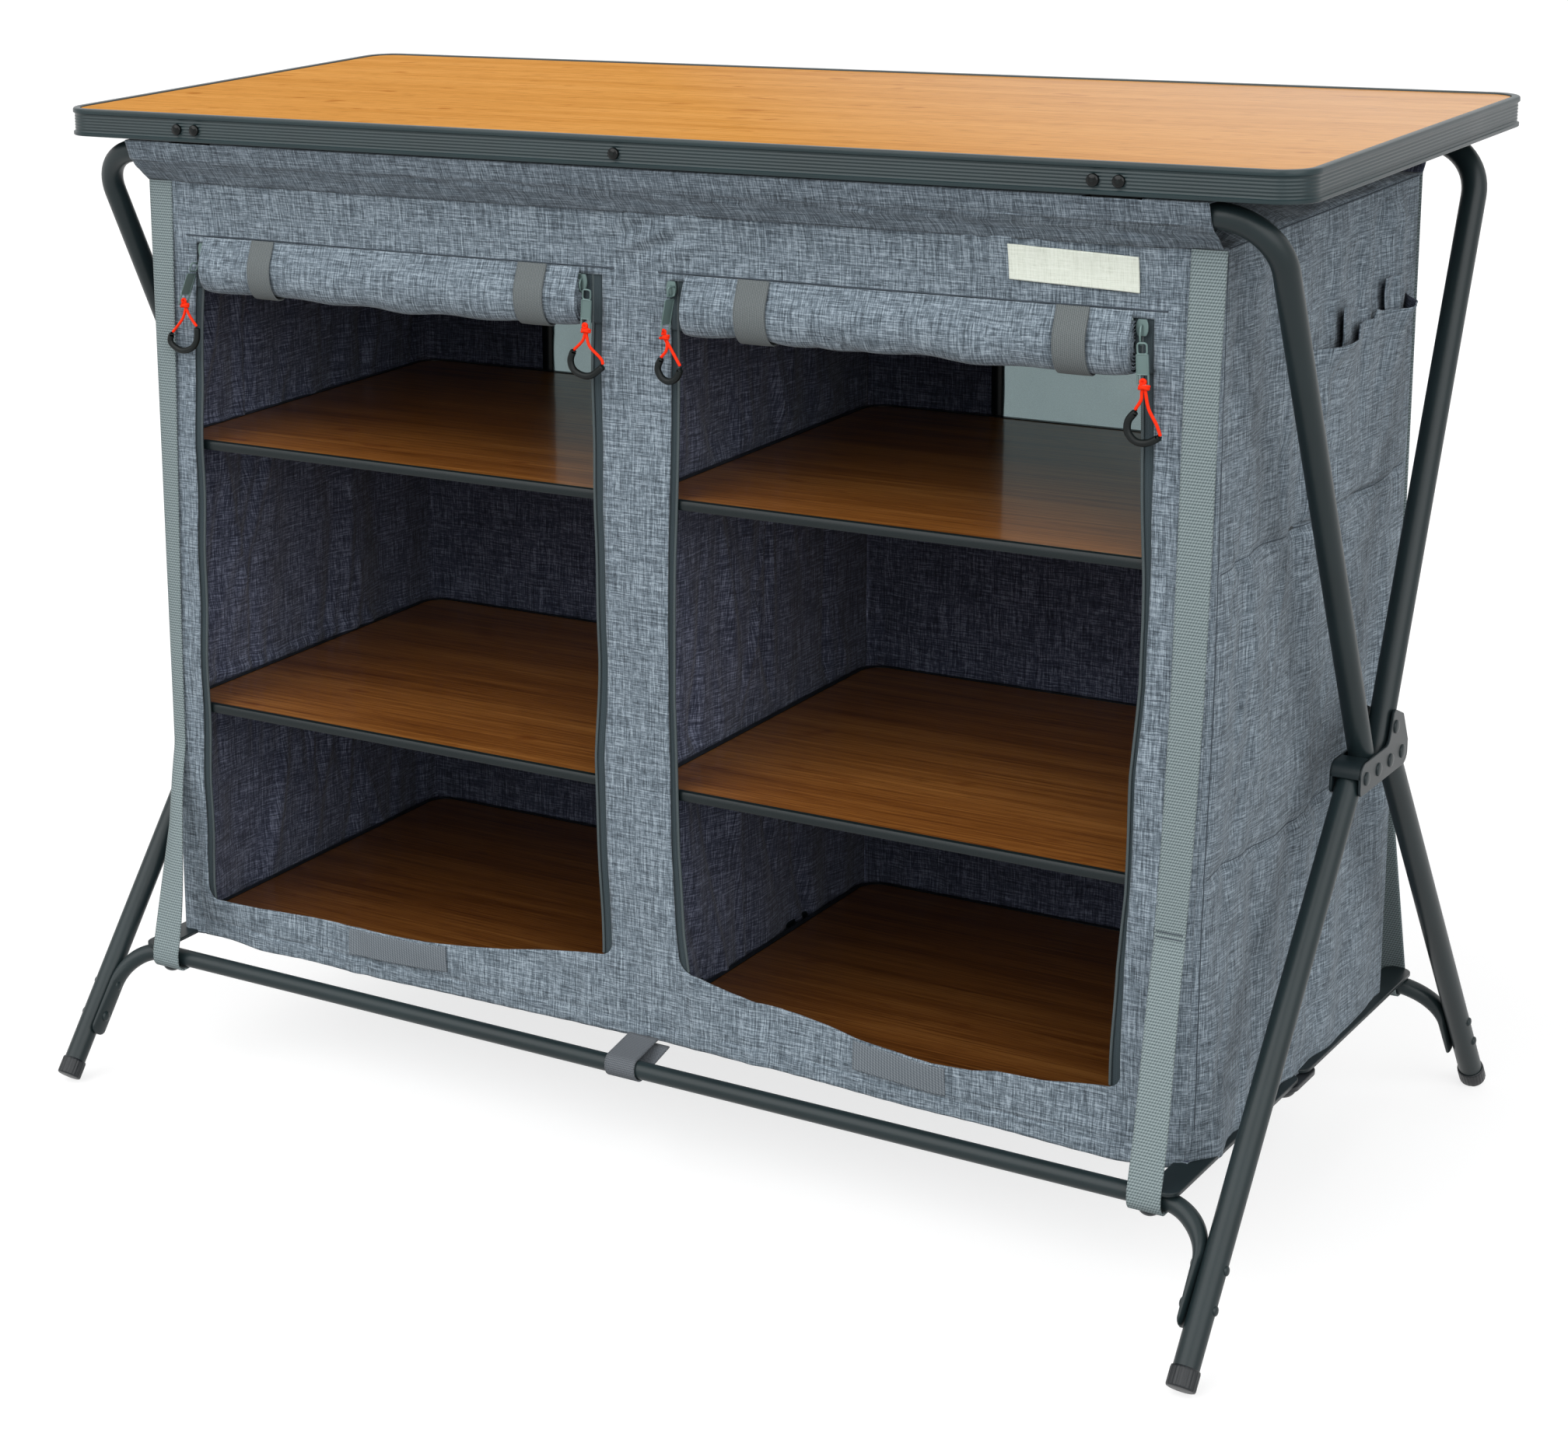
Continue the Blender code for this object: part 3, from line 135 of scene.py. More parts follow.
# The sides' lower edge, as (y, z), and the four upright edges of the doors' openings, as (z, x)
SIDE_HEM = np.array([(-0.195, 0.1085), (-0.168, 0.1090), (-0.135, 0.1070), (-0.105, 0.1071),
                     (-0.025, 0.1105), (0.020, 0.1080), (0.100, 0.1080), (0.150, 0.1092), (0.178, 0.1080),
                     (0.195, 0.1110)])
EDGES = {
    "left_outer": np.array([(0.150, -0.4165), (0.182, -0.4198), (0.250, -0.4202), (0.345, -0.4176),
                            (0.456, -0.4156), (0.555, -0.4130), (0.610, -0.4120), (0.710, -0.4035)]),
    "left_inner": np.array([(0.178, -0.0205), (0.255, -0.0223), (0.334, -0.0241), (0.412, -0.0213),
                            (0.504, -0.0215), (0.594, -0.0230), (0.710, -0.0225)]),
    "right_inner": np.array([(0.172, 0.0405), (0.203, 0.0370), (0.266, 0.0337), (0.389, 0.0319),
                             (0.510, 0.0332), (0.629, 0.0350), (0.710, 0.0360)]),
    "right_outer": np.array([(0.162, 0.3943), (0.247, 0.3954), (0.305, 0.3994), (0.390, 0.4011),
                             (0.456, 0.4053), (0.529, 0.4064), (0.610, 0.4061), (0.710, 0.4035)]),
}
# How far the zip tapes show beyond those edges, as (z, width)
TAPES = {
    "left_outer": np.array([(0.150, 0.0060), (0.700, 0.0070)]),
    "left_inner": np.array([(0.170, 0.0088), (0.450, 0.0082), (0.620, 0.0086)]),
    "right_inner": np.array([(0.170, 0.0072), (0.270, 0.0058), (0.390, 0.0045), (0.630, 0.0059)]),
    "right_outer": np.array([(0.160, 0.0083), (0.220, 0.0062), (0.300, 0.0038), (0.500, 0.0045),
                             (0.610, 0.0086)]),
}


# Shaders

def node(tree, kind, values=None, **settings):
    """Adds a shader node; values maps its inputs, by name or number, to numbers or to other sockets."""
    made = tree.nodes.new("ShaderNode" + kind)
    for key, value in settings.items():
        setattr(made, key, value)
    for key, value in (values or {}).items():
        if isinstance(value, bpy.types.NodeSocket):
            tree.links.new(value, made.inputs[key])
        else:
            made.inputs[key].default_value = value
    return made


def sums(tree, operation, first, second=0.0, third=0.0):
    """A Math node's result."""
    return node(tree, "Math", {0: first, 1: second, 2: third}, operation=operation).outputs[0]


def ramp(tree, factor, stops):
    """Colours along a factor; stops are (place, colour) pairs."""
    made = node(tree, "ValToRGB", {"Fac": factor})
    bands = made.color_ramp.elements
    while len(bands) < len(stops):
        bands.new(0.5)
    for band, (place, colour) in zip(bands, stops):
        band.position = place
        band.color = (*colour, 1.0)
    return made.outputs["Color"]


def stretched_noise(tree, vector, scale, detail=2.0, roughness=0.5, turn=0.0):
    """Noise on a vector that is first turned and then stretched by three scales."""
    mapped = node(tree, "Mapping", {"Vector": vector, "Rotation": (0.0, 0.0, turn), "Scale": scale})
    return node(tree, "TexNoise", {"Vector": mapped.outputs[0], "Scale": 1.0, "Detail": detail,
                                   "Roughness": roughness}).outputs["Fac"]


def finish(name, roughness, metallic=0.0, colour=(0.5, 0.5, 0.5), **sockets):
    """A Principled material with its tree and shader."""
    made = bpy.data.materials.new(name)
    made.use_nodes = True
    tree = made.node_tree
    shader = tree.nodes["Principled BSDF"]
    shader.inputs["Base Color"].default_value = (*colour, 1.0)
    shader.inputs["Roughness"].default_value = roughness
    shader.inputs["Metallic"].default_value = metallic
    for key, value in sockets.items():
        shader.inputs[key.replace("_", " ")].default_value = value
    return made, tree, shader


def join(tree, socket, shader, name):
    """Feeds one of the shader's inputs."""
    tree.links.new(socket, shader.inputs[name])


def bumps(tree, shader, height, distance, strength):
    """Sends a height through a Bump node into the shader's normal."""
    made = node(tree, "Bump", {"Height": height, "Distance": distance, "Strength": strength})
    join(tree, made.outputs[0], shader, "Normal")


def weighted(tree, first, second, share, other_share):
    """Two values added up, each times its own share."""
    parts = sums(tree, "MULTIPLY", first, share), sums(tree, "MULTIPLY", second, other_share)
    return sums(tree, "ADD", *parts)


def heathered_cloth(name, dark, middle, light, turn=0.0, sheen=0.1, spread=0.10):
    """Woven polyester whose warp and weft are slubbed light and dark: fine and long noises, each drawn out
    along one thread direction, are added up, and the sum picks a colour from dark through middle to light."""
    made, tree, shader = finish(name, 0.95, Sheen_Weight=sheen, Sheen_Roughness=0.6, Specular_IOR_Level=0.25)
    uv = node(tree, "UVMap").outputs[0]
    warp = stretched_noise(tree, uv, (1350.0, 130.0, 1.0), 3.0, 0.65, turn)
    weft = stretched_noise(tree, uv, (130.0, 1350.0, 1.0), 3.0, 0.65, turn)
    long_warp = stretched_noise(tree, uv, (700.0, 26.0, 1.0), 3.0, 0.7, turn)
    long_weft = stretched_noise(tree, uv, (26.0, 700.0, 1.0), 3.0, 0.7, turn)
    threads = weighted(tree, warp, weft, 0.24, 0.24)
    slubs = weighted(tree, long_warp, long_weft, 0.26, 0.26)
    level = sums(tree, "ADD", threads, slubs)
    tint = ramp(tree, level, [(0.50 - spread, dark), (0.50, middle), (0.50 + spread, light)])
    join(tree, tint, shader, "Base Color")
    bumps(tree, shader, sums(tree, "ADD", warp, weft), 0.0004, 0.5)
    return made


def ribbed_webbing(name, dark, light, pitch, across=False, depth=0.0005):
    """Webbing with a rib every pitch metres along its length, or across it, each rib broken into stitches by
    a second wave that leans against it, and slightly uneven threads."""
    made, tree, shader = finish(name, 0.90, Sheen_Weight=0.05, Specular_IOR_Level=0.25)
    uv = node(tree, "UVMap").outputs[0]
    split = node(tree, "SeparateXYZ", {0: uv})
    along, aside = ("X", "Y") if across else ("Y", "X")
    place, other = split.outputs[along], split.outputs[aside]
    turn = sums(tree, "MULTIPLY", place, 2 * pi / pitch)
    lean = sums(tree, "MULTIPLY_ADD", other, 2 * pi / (pitch * 0.9), sums(tree, "MULTIPLY", turn, 0.5))
    rib = sums(tree, "MULTIPLY_ADD", sums(tree, "SINE", turn), 0.5, 0.5)
    stitch = sums(tree, "MULTIPLY_ADD", sums(tree, "SINE", lean), 0.5, 0.5)
    thread = stretched_noise(tree, uv, (900.0, 900.0, 1.0), 2.0)
    level = sums(tree, "MULTIPLY_ADD", thread, 0.35, weighted(tree, rib, stitch, 0.38, 0.27))
    join(tree, ramp(tree, level, [(0.15, dark), (0.85, light)]), shader, "Base Color")
    bumps(tree, shader, level, depth, 0.7)
    return made


def mixed(tree, factor, first, second, blend="MIX"):
    """Two colours mixed by a factor."""
    values = {0: factor, 6: first, 7: second}
    return node(tree, "Mix", values, data_type="RGBA", blend_type=blend).outputs[2]


def coated_metal(name, colour, roughness, metallic=0.0, specular=0.3):
    """Powder-coated metal: a fine orange-peel bump and a gloss that varies a little."""
    made, tree, shader = finish(name, roughness, metallic, colour, Specular_IOR_Level=specular)
    place = node(tree, "TexCoord").outputs["Object"]
    fine = stretched_noise(tree, place, (900.0, 900.0, 900.0), 2.0)
    broad = stretched_noise(tree, place, (14.0, 14.0, 14.0), 2.0)
    join(tree, sums(tree, "MULTIPLY_ADD", broad, 0.10, roughness - 0.05), shader, "Roughness")
    lighter = tuple(min(1.0, value * 1.25) for value in colour)
    join(tree, ramp(tree, broad, [(0.35, colour), (0.70, lighter)]), shader, "Base Color")
    bumps(tree, shader, fine, 0.00008, 0.4)
    return made


def wood_grain(name, dark, middle, light, roughness, coat, coat_roughness, gloss=0.0, specular=0.1):
    """Printed bamboo laminate: noise drawn out along X makes the grain, a finer one its short dark dashes and
    a sparse one its knots. Faces that look down or sideways are the bare dark board. gloss adds coat toward
    +X and +Y: a painted reflection that makes the top shine more toward its right rear."""
    made, tree, shader = finish(name, roughness, Coat_Weight=coat, Coat_Roughness=coat_roughness,
                                Specular_IOR_Level=specular)
    coordinates = node(tree, "TexCoord")
    place = coordinates.outputs["Object"]
    broad = stretched_noise(tree, place, (1.6, 38.0, 1.0), 3.0, 0.55)
    grain = stretched_noise(tree, place, (7.0, 640.0, 1.0), 4.0, 0.65)
    dashes = stretched_noise(tree, place, (42.0, 1100.0, 1.0), 2.0, 0.5)
    spots = stretched_noise(tree, place, (26.0, 60.0, 1.0), 2.0, 0.4)
    level = weighted(tree, broad, grain, 0.36, 0.64)
    tint = ramp(tree, level, [(0.38, dark), (0.50, middle), (0.62, light)])
    pores = ramp(tree, dashes, [(0.30, (0.55, 0.50, 0.45)), (0.44, (1.0, 1.0, 1.0))])
    knots = ramp(tree, spots, [(0.66, (1.0, 1.0, 1.0)), (0.76, (0.76, 0.66, 0.58))])
    printed = mixed(tree, 0.8, tint, pores, "MULTIPLY")
    printed = mixed(tree, 1.0, printed, knots, "MULTIPLY")
    up = node(tree, "SeparateXYZ", {0: coordinates.outputs["Normal"]}).outputs["Z"]
    top = sums(tree, "GREATER_THAN", up, 0.5)
    join(tree, mixed(tree, top, (*BARE_BOARD, 1), printed), shader, "Base Color")
    # Painted reflection: the coat, and with it the shine, grows toward the right rear
    if gloss:
        spot = node(tree, "SeparateXYZ", {0: place})
        reach = sums(tree, "MULTIPLY_ADD", spot.outputs["X"], 1.7, 0.10)
        reach = sums(tree, "MULTIPLY_ADD", spot.outputs["Y"], 1.4, reach)
        held = node(tree, "Clamp", {0: reach}).outputs[0]
        join(tree, sums(tree, "MULTIPLY_ADD", held, gloss, coat), shader, "Coat Weight")
    bumps(tree, shader, grain, 0.00006, 0.35)
    return made


def plain_plastic(name, colour, roughness, specular=0.35, **sockets):
    """Moulded plastic with a fine grain."""
    made, tree, shader = finish(name, roughness, 0.0, colour, Specular_IOR_Level=specular, **sockets)
    place = node(tree, "TexCoord").outputs["Object"]
    fine = stretched_noise(tree, place, (1600.0, 1600.0, 1600.0), 2.0)
    bumps(tree, shader, fine, 0.00005, 0.5)
    lighter = tuple(min(1.0, value * 1.4) for value in colour)
    join(tree, ramp(tree, fine, [(0.35, colour), (0.70, lighter)]), shader, "Base Color")
    return made


# The bare board, and the dark, middle and light threads of the cloths
BARE_BOARD = (0.012, 0.011, 0.010)
GREY = ((0.042, 0.056, 0.070), (0.136, 0.174, 0.208), (0.34, 0.405, 0.46))
# SHADED_GREY is the grey cloth made darker: painted shade for the flaps that hang under the worktop
SHADED_GREY = ((0.033, 0.044, 0.056), (0.110, 0.142, 0.172), (0.28, 0.335, 0.385))
# SHADED_NAVY is the cloth's inner face, darker and bluer than its outside: partly the back's own colour,
# partly painted shade of the cupboard's inside
SHADED_NAVY = ((0.014, 0.017, 0.030), (0.054, 0.063, 0.103), (0.25, 0.28, 0.38))

FINISHES = {
    "cloth": heathered_cloth("heathered_cloth", *GREY, spread=0.072),
    # The flaps' cloth: the same weave turned, in the darker grey that paints their shade
    "shaded_valance_cloth": heathered_cloth("shaded_valance_cloth", *SHADED_GREY, turn=0.38, spread=0.072),
    # Inner faces and the divider: the darker navy cloth, part of whose darkness is painted shade
    "lining": heathered_cloth("shaded_lining", *SHADED_NAVY, spread=0.085),
    "webbing": ribbed_webbing("grey_webbing", (0.060, 0.086, 0.090), (0.32, 0.385, 0.395), 0.0022),
    "loop_webbing": ribbed_webbing("dark_webbing", (0.060, 0.068, 0.080), (0.16, 0.175, 0.190), 0.0016),
    "elastic": ribbed_webbing("ribbed_elastic", (0.072, 0.084, 0.086), (0.185, 0.205, 0.208), 0.0014,
                              across=True),
    "touch_tape": ribbed_webbing("touch_tape", (0.085, 0.100, 0.115), (0.21, 0.24, 0.265), 0.0024,
                                 across=True),
    "zip_tape": ribbed_webbing("zip_tape", (0.020, 0.032, 0.038), (0.056, 0.076, 0.086), 0.0011, across=True,
                               depth=0.0002),
    "zip_teeth": plain_plastic("zip_teeth", (0.045, 0.060, 0.064), 0.40),
    "thread": plain_plastic("seam_thread", (0.050, 0.062, 0.075), 0.80, specular=0.1),
    "steel": coated_metal("coated_steel", (0.010, 0.018, 0.020), 0.38, specular=0.28),
    "bracket": coated_metal("bracket_steel", (0.008, 0.014, 0.016), 0.36, specular=0.28),
    "rim": coated_metal("coated_rim", (0.013, 0.026, 0.029), 0.33, specular=0.30),
    "screw": plain_plastic("black_screw", (0.002, 0.003, 0.003), 0.16, specular=0.22),
    "plastic": plain_plastic("black_plastic", (0.007, 0.009, 0.011), 0.40),
    "binding": plain_plastic("board_binding", (0.006, 0.010, 0.011), 0.34, specular=0.22),
    "worktop": wood_grain("worktop_laminate", (0.54, 0.235, 0.052), (0.645, 0.297, 0.074),
                          (0.715, 0.35, 0.10), 0.5, 0.0, 0.22, gloss=0.62, specular=0.0),
    "board": wood_grain("board_laminate", (0.105, 0.031, 0.005), (0.22, 0.077, 0.014), (0.34, 0.138, 0.031),
                        0.34, 0.45, 0.09),
    # The board laminate made darker for the floor boards: painted shade of the cupboard's low inside
    "shaded_floor_board": wood_grain("low_board_laminate", (0.070, 0.021, 0.004), (0.150, 0.052, 0.010),
                            (0.235, 0.095, 0.022), 0.34, 0.45, 0.09),
    "zinc": coated_metal("dull_zinc", (0.115, 0.170, 0.165), 0.34, 0.30),
    "cord": plain_plastic("orange_cord", (0.92, 0.026, 0.003), 0.60, specular=0.15),
    "grip": plain_plastic("rubber_grip", (0.004, 0.006, 0.006), 0.45, specular=0.20),
    "label": heathered_cloth("label_weave", (0.62, 0.66, 0.57), (0.74, 0.78, 0.69), (0.82, 0.86, 0.78),
                             sheen=0.0),
    "pane": plain_plastic("clear_pane", (0.215, 0.278, 0.285), 0.35, Transmission_Weight=0.85),
}


# Meshes

def quads(rows, cols):
    """Corner numbers of the faces of a grid of points, row by row."""
    r, c = np.meshgrid(np.arange(rows - 1), np.arange(cols - 1), indexing="ij")
    corner = r * cols + c
    return np.stack([corner, corner + cols, corner + cols + 1, corner + 1], -1).reshape(-1, 4)


def lengths(points, axis):
    """Distance run along one side of a grid, from its first line, as a grid."""
    steps = np.linalg.norm(np.diff(points, axis=axis), axis=2)
    zero = np.zeros_like(np.take(steps, [0], axis=axis))
    return np.concatenate([zero, np.cumsum(steps, axis=axis)], axis=axis)


def patch(points, uv=None, shut=False, keep=None, facing=None):
    """A grid of points with its faces and its map. Without a map, u and v are the distances run along the
    columns and the rows. shut closes the first and the last row with a flat face; keep is a mask of faces;
    facing turns the faces so that on the whole they look that way."""
    points = np.asarray(points, float)
    rows, cols = points.shape[:2]
    if uv is None:
        run = lengths(points, 1)
        along = lengths(points, 0).mean(axis=1, keepdims=True)
        uv = np.stack([run, np.broadcast_to(along, (rows, cols))], -1)
    faces = quads(rows, cols)
    if facing is not None:
        looks = np.cross(np.diff(points, axis=0)[:, :-1], np.diff(points, axis=1)[:-1]).sum((0, 1))
        if looks @ np.asarray(facing, float) < 0:
            faces = faces[:, ::-1]
    if keep is not None:
        faces = faces[np.asarray(keep).ravel()]
    faces = faces.tolist()
    if shut:
        faces += [list(range(cols - 1)), list(range((rows - 1) * cols, rows * cols - 1))]
    return points.reshape(-1, 3), faces, np.asarray(uv, float).reshape(-1, 2)


def piece(name, patches, look, body, stands_for=(), wall=0.0, shell=True, sharp=40.0, bevel=0.0,
          offset=-1.0, lining=None):
    """One object from its patches, its doubles merged. shell turns a closed skin's faces outward, wall gives
    a sheet its thickness to the side that offset says, lining is the finish of the sheet's inner face, sharp
    is the angle from which edges aren't smooth and bevel rounds such edges."""
    points, faces, uv, start = [], [], [], 0
    for part in patches:
        points.append(part[0])
        uv.append(part[2])
        faces += [[start + corner for corner in face] for face in part[1]]
        start += len(part[0])
    points, uv = np.concatenate(points), np.concatenate(uv)
    mesh = bpy.data.meshes.new(name)
    mesh.from_pydata(points, [], faces)
    order = np.zeros(len(mesh.loops), int)
    mesh.loops.foreach_get("vertex_index", order)
    mesh.uv_layers.new(name="UVMap").data.foreach_set("uv", uv[order].ravel())
    bm = bmesh.new()
    bm.from_mesh(mesh)
    bmesh.ops.remove_doubles(bm, verts=bm.verts, dist=1e-6)
    if shell:
        bmesh.ops.recalc_face_normals(bm, faces=bm.faces)
    bm.to_mesh(mesh)
    bm.free()
    mesh.polygons.foreach_set("use_smooth", [True] * len(mesh.polygons))
    mesh.set_sharp_from_angle(angle=radians(sharp))
    made = bpy.data.objects.new(name, mesh)
    bpy.context.scene.collection.objects.link(made)
    mesh.materials.append(FINISHES[look])
    if wall:
        solid = made.modifiers.new("wall", "SOLIDIFY")
        solid.thickness, solid.offset = wall, offset
        if lining:
            mesh.materials.append(FINISHES[lining])
            solid.material_offset = 1
    if bevel:
        rounding = made.modifiers.new("rounding", "BEVEL")
        rounding.width, rounding.segments, rounding.limit_method = bevel, 2, "ANGLE"
        rounding.angle_limit = radians(35)
        rounding.harden_normals = False
    if body:
        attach(made, body)
    if stands_for:
        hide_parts(*stands_for)
    return made


def unit(vectors):
    """Vectors cut to length one along their last axis."""
    vectors = np.asarray(vectors, float)
    return vectors / np.linalg.norm(vectors, axis=-1, keepdims=True)


def bent(corners, radius, steps=12):
    """A run of points through corners, each inner corner rounded by an arc of the radius."""
    corners = np.asarray(corners, float)
    run = [corners[:1]]
    for before, corner, after in zip(corners, corners[1:], corners[2:]):
        a, b = unit(before - corner), unit(after - corner)
        half = acos(np.clip(a @ b, -1, 1)) / 2
        centre = corner + unit(a + b) * radius / sin(half)
        first = corner + a * radius / np.tan(half) - centre
        last = corner + b * radius / np.tan(half) - centre
        span = pi - 2 * half
        share = np.linspace(0, 1, steps)[:, None]
        run.append(centre + (first * np.sin((1 - share) * span) + last * np.sin(share * span)) / sin(span))
    run.append(corners[-1:])
    return np.concatenate(run)


def tangents(path):
    """Unit directions along a run of points."""
    ahead = unit(np.diff(path, axis=0))
    return unit(np.concatenate([ahead[:1], ahead[:-1] + ahead[1:], ahead[-1:]]))


def carried(path, across, normal, profile, scale):
    """A profile of (across, normal) pairs carried along a path and resized at each station."""
    profile = profile * scale[:, None]
    return path[:, None] + across[:, None] * profile[..., :1] + normal[:, None] * profile[..., 1:]


def on_circle(turn):
    """(cosine, sine) pairs of some turns."""
    return np.stack([np.cos(turn), np.sin(turn)], -1)


def ring(sides):
    """A closed unit circle, its first point repeated."""
    return on_circle(np.linspace(0, 2 * pi, sides + 1))


def stacked(*parts):
    """Coordinates spread over the shape that they share and stacked into points."""
    return np.stack(np.broadcast_arrays(*parts), -1)


def mesh_grid(first, second):
    """Two runs of numbers as a grid: the first down its rows, the second along them."""
    return np.meshgrid(first, second, indexing="ij")


def distances(run):
    """Distance run along a line of points, from its first."""
    return np.concatenate([[0], np.cumsum(np.linalg.norm(np.diff(run, axis=0), axis=1))])


def fade(distance, length):
    """Share of a length that a distance covers, kept from 0 to 1."""
    return np.clip(distance / length, 0, 1)


def eased(share):
    """A share from 0 to 1 that starts and ends softly."""
    return share * share * (3 - 2 * share)


def tube(path, radius, normal=None, sides=20, rounded=0.0):
    """A round bar along a path: a circle of the radius, or an oval of two radii for each point, carried
    along it. With a normal the path is flat; without one the circle is carried with the least twist.
    rounded draws both ends in over that length."""
    path = np.asarray(path, float)
    size = np.broadcast_to(np.asarray(radius, float).reshape(-1, 1) if np.ndim(radius) < 2 else radius,
                           (len(path), 2)).copy()
    along = tangents(path)
    if rounded:
        shares = np.array([0.0, 0.15, 0.4, 0.75])[:, None]
        drawn = np.sqrt(1 - (1 - shares) ** 2) * 0.98 + 0.02
        start, end = along[0] * rounded, along[-1] * rounded
        path = np.concatenate([path[0] + start * shares, path[:1] + start, path[1:-1], path[-1:] - end,
                               path[-1] - end * shares[::-1]])
        size = np.concatenate([size[0] * drawn, size[:1], size[1:-1], size[-1:], size[-1] * drawn[::-1]])
        along = tangents(path)
    if normal is None:
        across = least_twist(along)
        normal = np.cross(along, across)
    else:
        normal = np.broadcast_to(unit(normal), path.shape)
        across = unit(np.cross(along, normal))
    return patch(carried(path, across, normal, ring(sides), size), shut=True)


def least_twist(along):
    """Side directions that turn with the path and never about it, one step after another."""
    side = np.cross(along[0], (0, 0, 1) if abs(along[0][2]) < 0.9 else (0, 1, 0))
    sides = []
    for way in along:
        side = unit(side - way * (side @ way))
        sides.append(side)
    return np.array(sides)


def turned(centre, axis, profile, sides=24):
    """A turned part: (radius, height) pairs spun about an axis from its centre."""
    profile = np.maximum(np.asarray(profile, float), (1e-5, -1))
    axis = unit(axis)
    across = unit(np.cross(axis, (0, 0, 1) if abs(axis[2]) < 0.9 else (1, 0, 0)))
    other = np.cross(axis, across)
    spin = ring(sides)
    flat = spin[:, :1] * across + spin[:, 1:] * other
    points = np.asarray(centre, float) + profile[:, None, 1:] * axis + profile[:, None, :1] * flat[None]
    return patch(points, shut=True)


def dome(centre, axis, radius, height, foot=0.0006):
    """A round-headed rivet or screw: a low cylinder under a cap that is part of a sphere."""
    turn = np.linspace(0, pi / 2, 7)
    cap = np.stack([radius * np.cos(turn), foot + (height - foot) * np.sin(turn)], -1)
    return turned(centre, axis, np.concatenate([[(0, -0.0004), (radius, -0.0004)], cap]), 20)


def slab(outline, way, low, high):
    """A flat closed outline pushed along a direction from low to high."""
    outline = np.asarray(outline, float)
    outline = np.concatenate([outline, outline[:1]])
    offsets = np.array([low, high])[:, None, None] * np.asarray(way, float)
    return patch(outline[None] + offsets, shut=True)


def rounded_corners(corners, radii, steps=6):
    """A closed flat outline with each corner rounded by its own radius."""
    corners = [np.append(corner, 0.0) for corner in np.asarray(corners, float)]
    run = []
    for index, radius in enumerate(radii):
        before, after = corners[index - 1], corners[(index + 1) % len(corners)]
        if radius:
            run.append(bent([before, corners[index], after], radius, steps)[1:-1])
        else:
            run.append(corners[index][None])
    return np.concatenate(run)[:, :2]


def rounded_rectangle(width, depth, radius, centre=(0.0, 0.0), steps=14):
    """A rounded rectangle as a closed flat run of points, its first point repeated."""
    x, y = width / 2, depth / 2
    corners = [(centre[0] + u * x, centre[1] + v * y) for u, v in ((-1, -1), (1, -1), (1, 1), (-1, 1))]
    run = rounded_corners(corners, [radius] * 4, steps)
    return np.concatenate([run, run[:1]])


def unevenness(u, v, seed, low, high):
    """Soft folds: nine sine waves over u and v added up, each with its own seeded direction and length,
    scaled to stay near plus and minus one; low and high are waves per metre."""
    count = 9
    rng = np.random.default_rng(seed)
    turn, phase = rng.uniform(0, pi, count), rng.uniform(0, 2 * pi, count)
    pitch = rng.uniform(low, high, count) * 2 * pi
    waves = np.sin(pitch * (np.cos(turn) * u[..., None] + np.sin(turn) * v[..., None]) + phase)
    return waves.sum(-1) / count ** 0.5 / 1.2


def pinch(value, place, width):
    """A smooth bump of height one at a place: a bell curve of the given half width."""
    return np.exp(-((value - place) / width) ** 2)


def creases(u, v, seed, count, wide, lean):
    """Creases of cloth: bell-shaped ridges and grooves along slanted lines, each fading toward its ends, at
    seeded places within wide metres of the cloth's middle; heights are near plus and minus one."""
    rng = np.random.default_rng(seed)
    place, middle = rng.uniform(-wide, wide, count), rng.uniform(FLOOR_Z, ROOF_Z, count)
    slope, reach = rng.normal(lean, 0.18, count), rng.uniform(0.03, 0.11, count)
    width = rng.uniform(0.0045, 0.0095, count)
    height = rng.uniform(0.4, 1.0, count) * rng.choice((-1, 1), count)
    apart = u[..., None] - place - slope * (v[..., None] - middle)
    return (height * np.exp(-(apart / width) ** 2 - ((v[..., None] - middle) / reach) ** 2)).sum(-1)


# Frame

def leg_y(side, height):
    """Y of a leg's centre line at a height."""
    pivot = PIVOTS_Y[0] if side < 0 else PIVOTS_Y[3]
    return pivot + (side * FOOT_Y - pivot) * (1 - height / PIVOT_Z)


def down_leg(side):
    """Unit direction down a leg."""
    pivot = PIVOTS_Y[0] if side < 0 else PIVOTS_Y[3]
    return unit((0, side * FOOT_Y - pivot, -PIVOT_Z))


def up_frame(side):
    """Unit direction up a top frame's tubes."""
    pivot = PIVOTS_Y[1] if side < 0 else PIVOTS_Y[2]
    return unit((0, TOP_BARS_Y[side] - pivot, TOP_BAR_Z - PIVOT_Z))


def make_top_frames():
    """Each top frame is one tube: a circle carried up, across and down a U with round bends."""
    for place, side in PLACES.items():
        pivot = np.array((0, PIVOTS_Y[1] if side < 0 else PIVOTS_Y[2], PIVOT_Z))
        low = pivot - up_frame(side) * 0.005
        corners = [(-TUBE_X, low[1], low[2]), (-TUBE_X, TOP_BARS_Y[side], TOP_BAR_Z),
                   (TUBE_X, TOP_BARS_Y[side], TOP_BAR_Z), (TUBE_X, low[1], low[2])]
        normal = np.cross(up_frame(side), (1, 0, 0))
        body = "front_upper" if side < 0 else "cupboard"
        piece(place + "_upper_tube", [tube(bent(corners, TOP_BEND, 16), TUBE_R, normal, 32)], "steel", body,
              [place + "_top_frame"])


def sole_of(side, hand):
    """Middle of a foot cap's sole."""
    rise = (TUBE_R + 0.0017) * abs(down_leg(side)[1]) - 0.0012
    return np.array((hand * TUBE_X, leg_y(side, rise), rise))


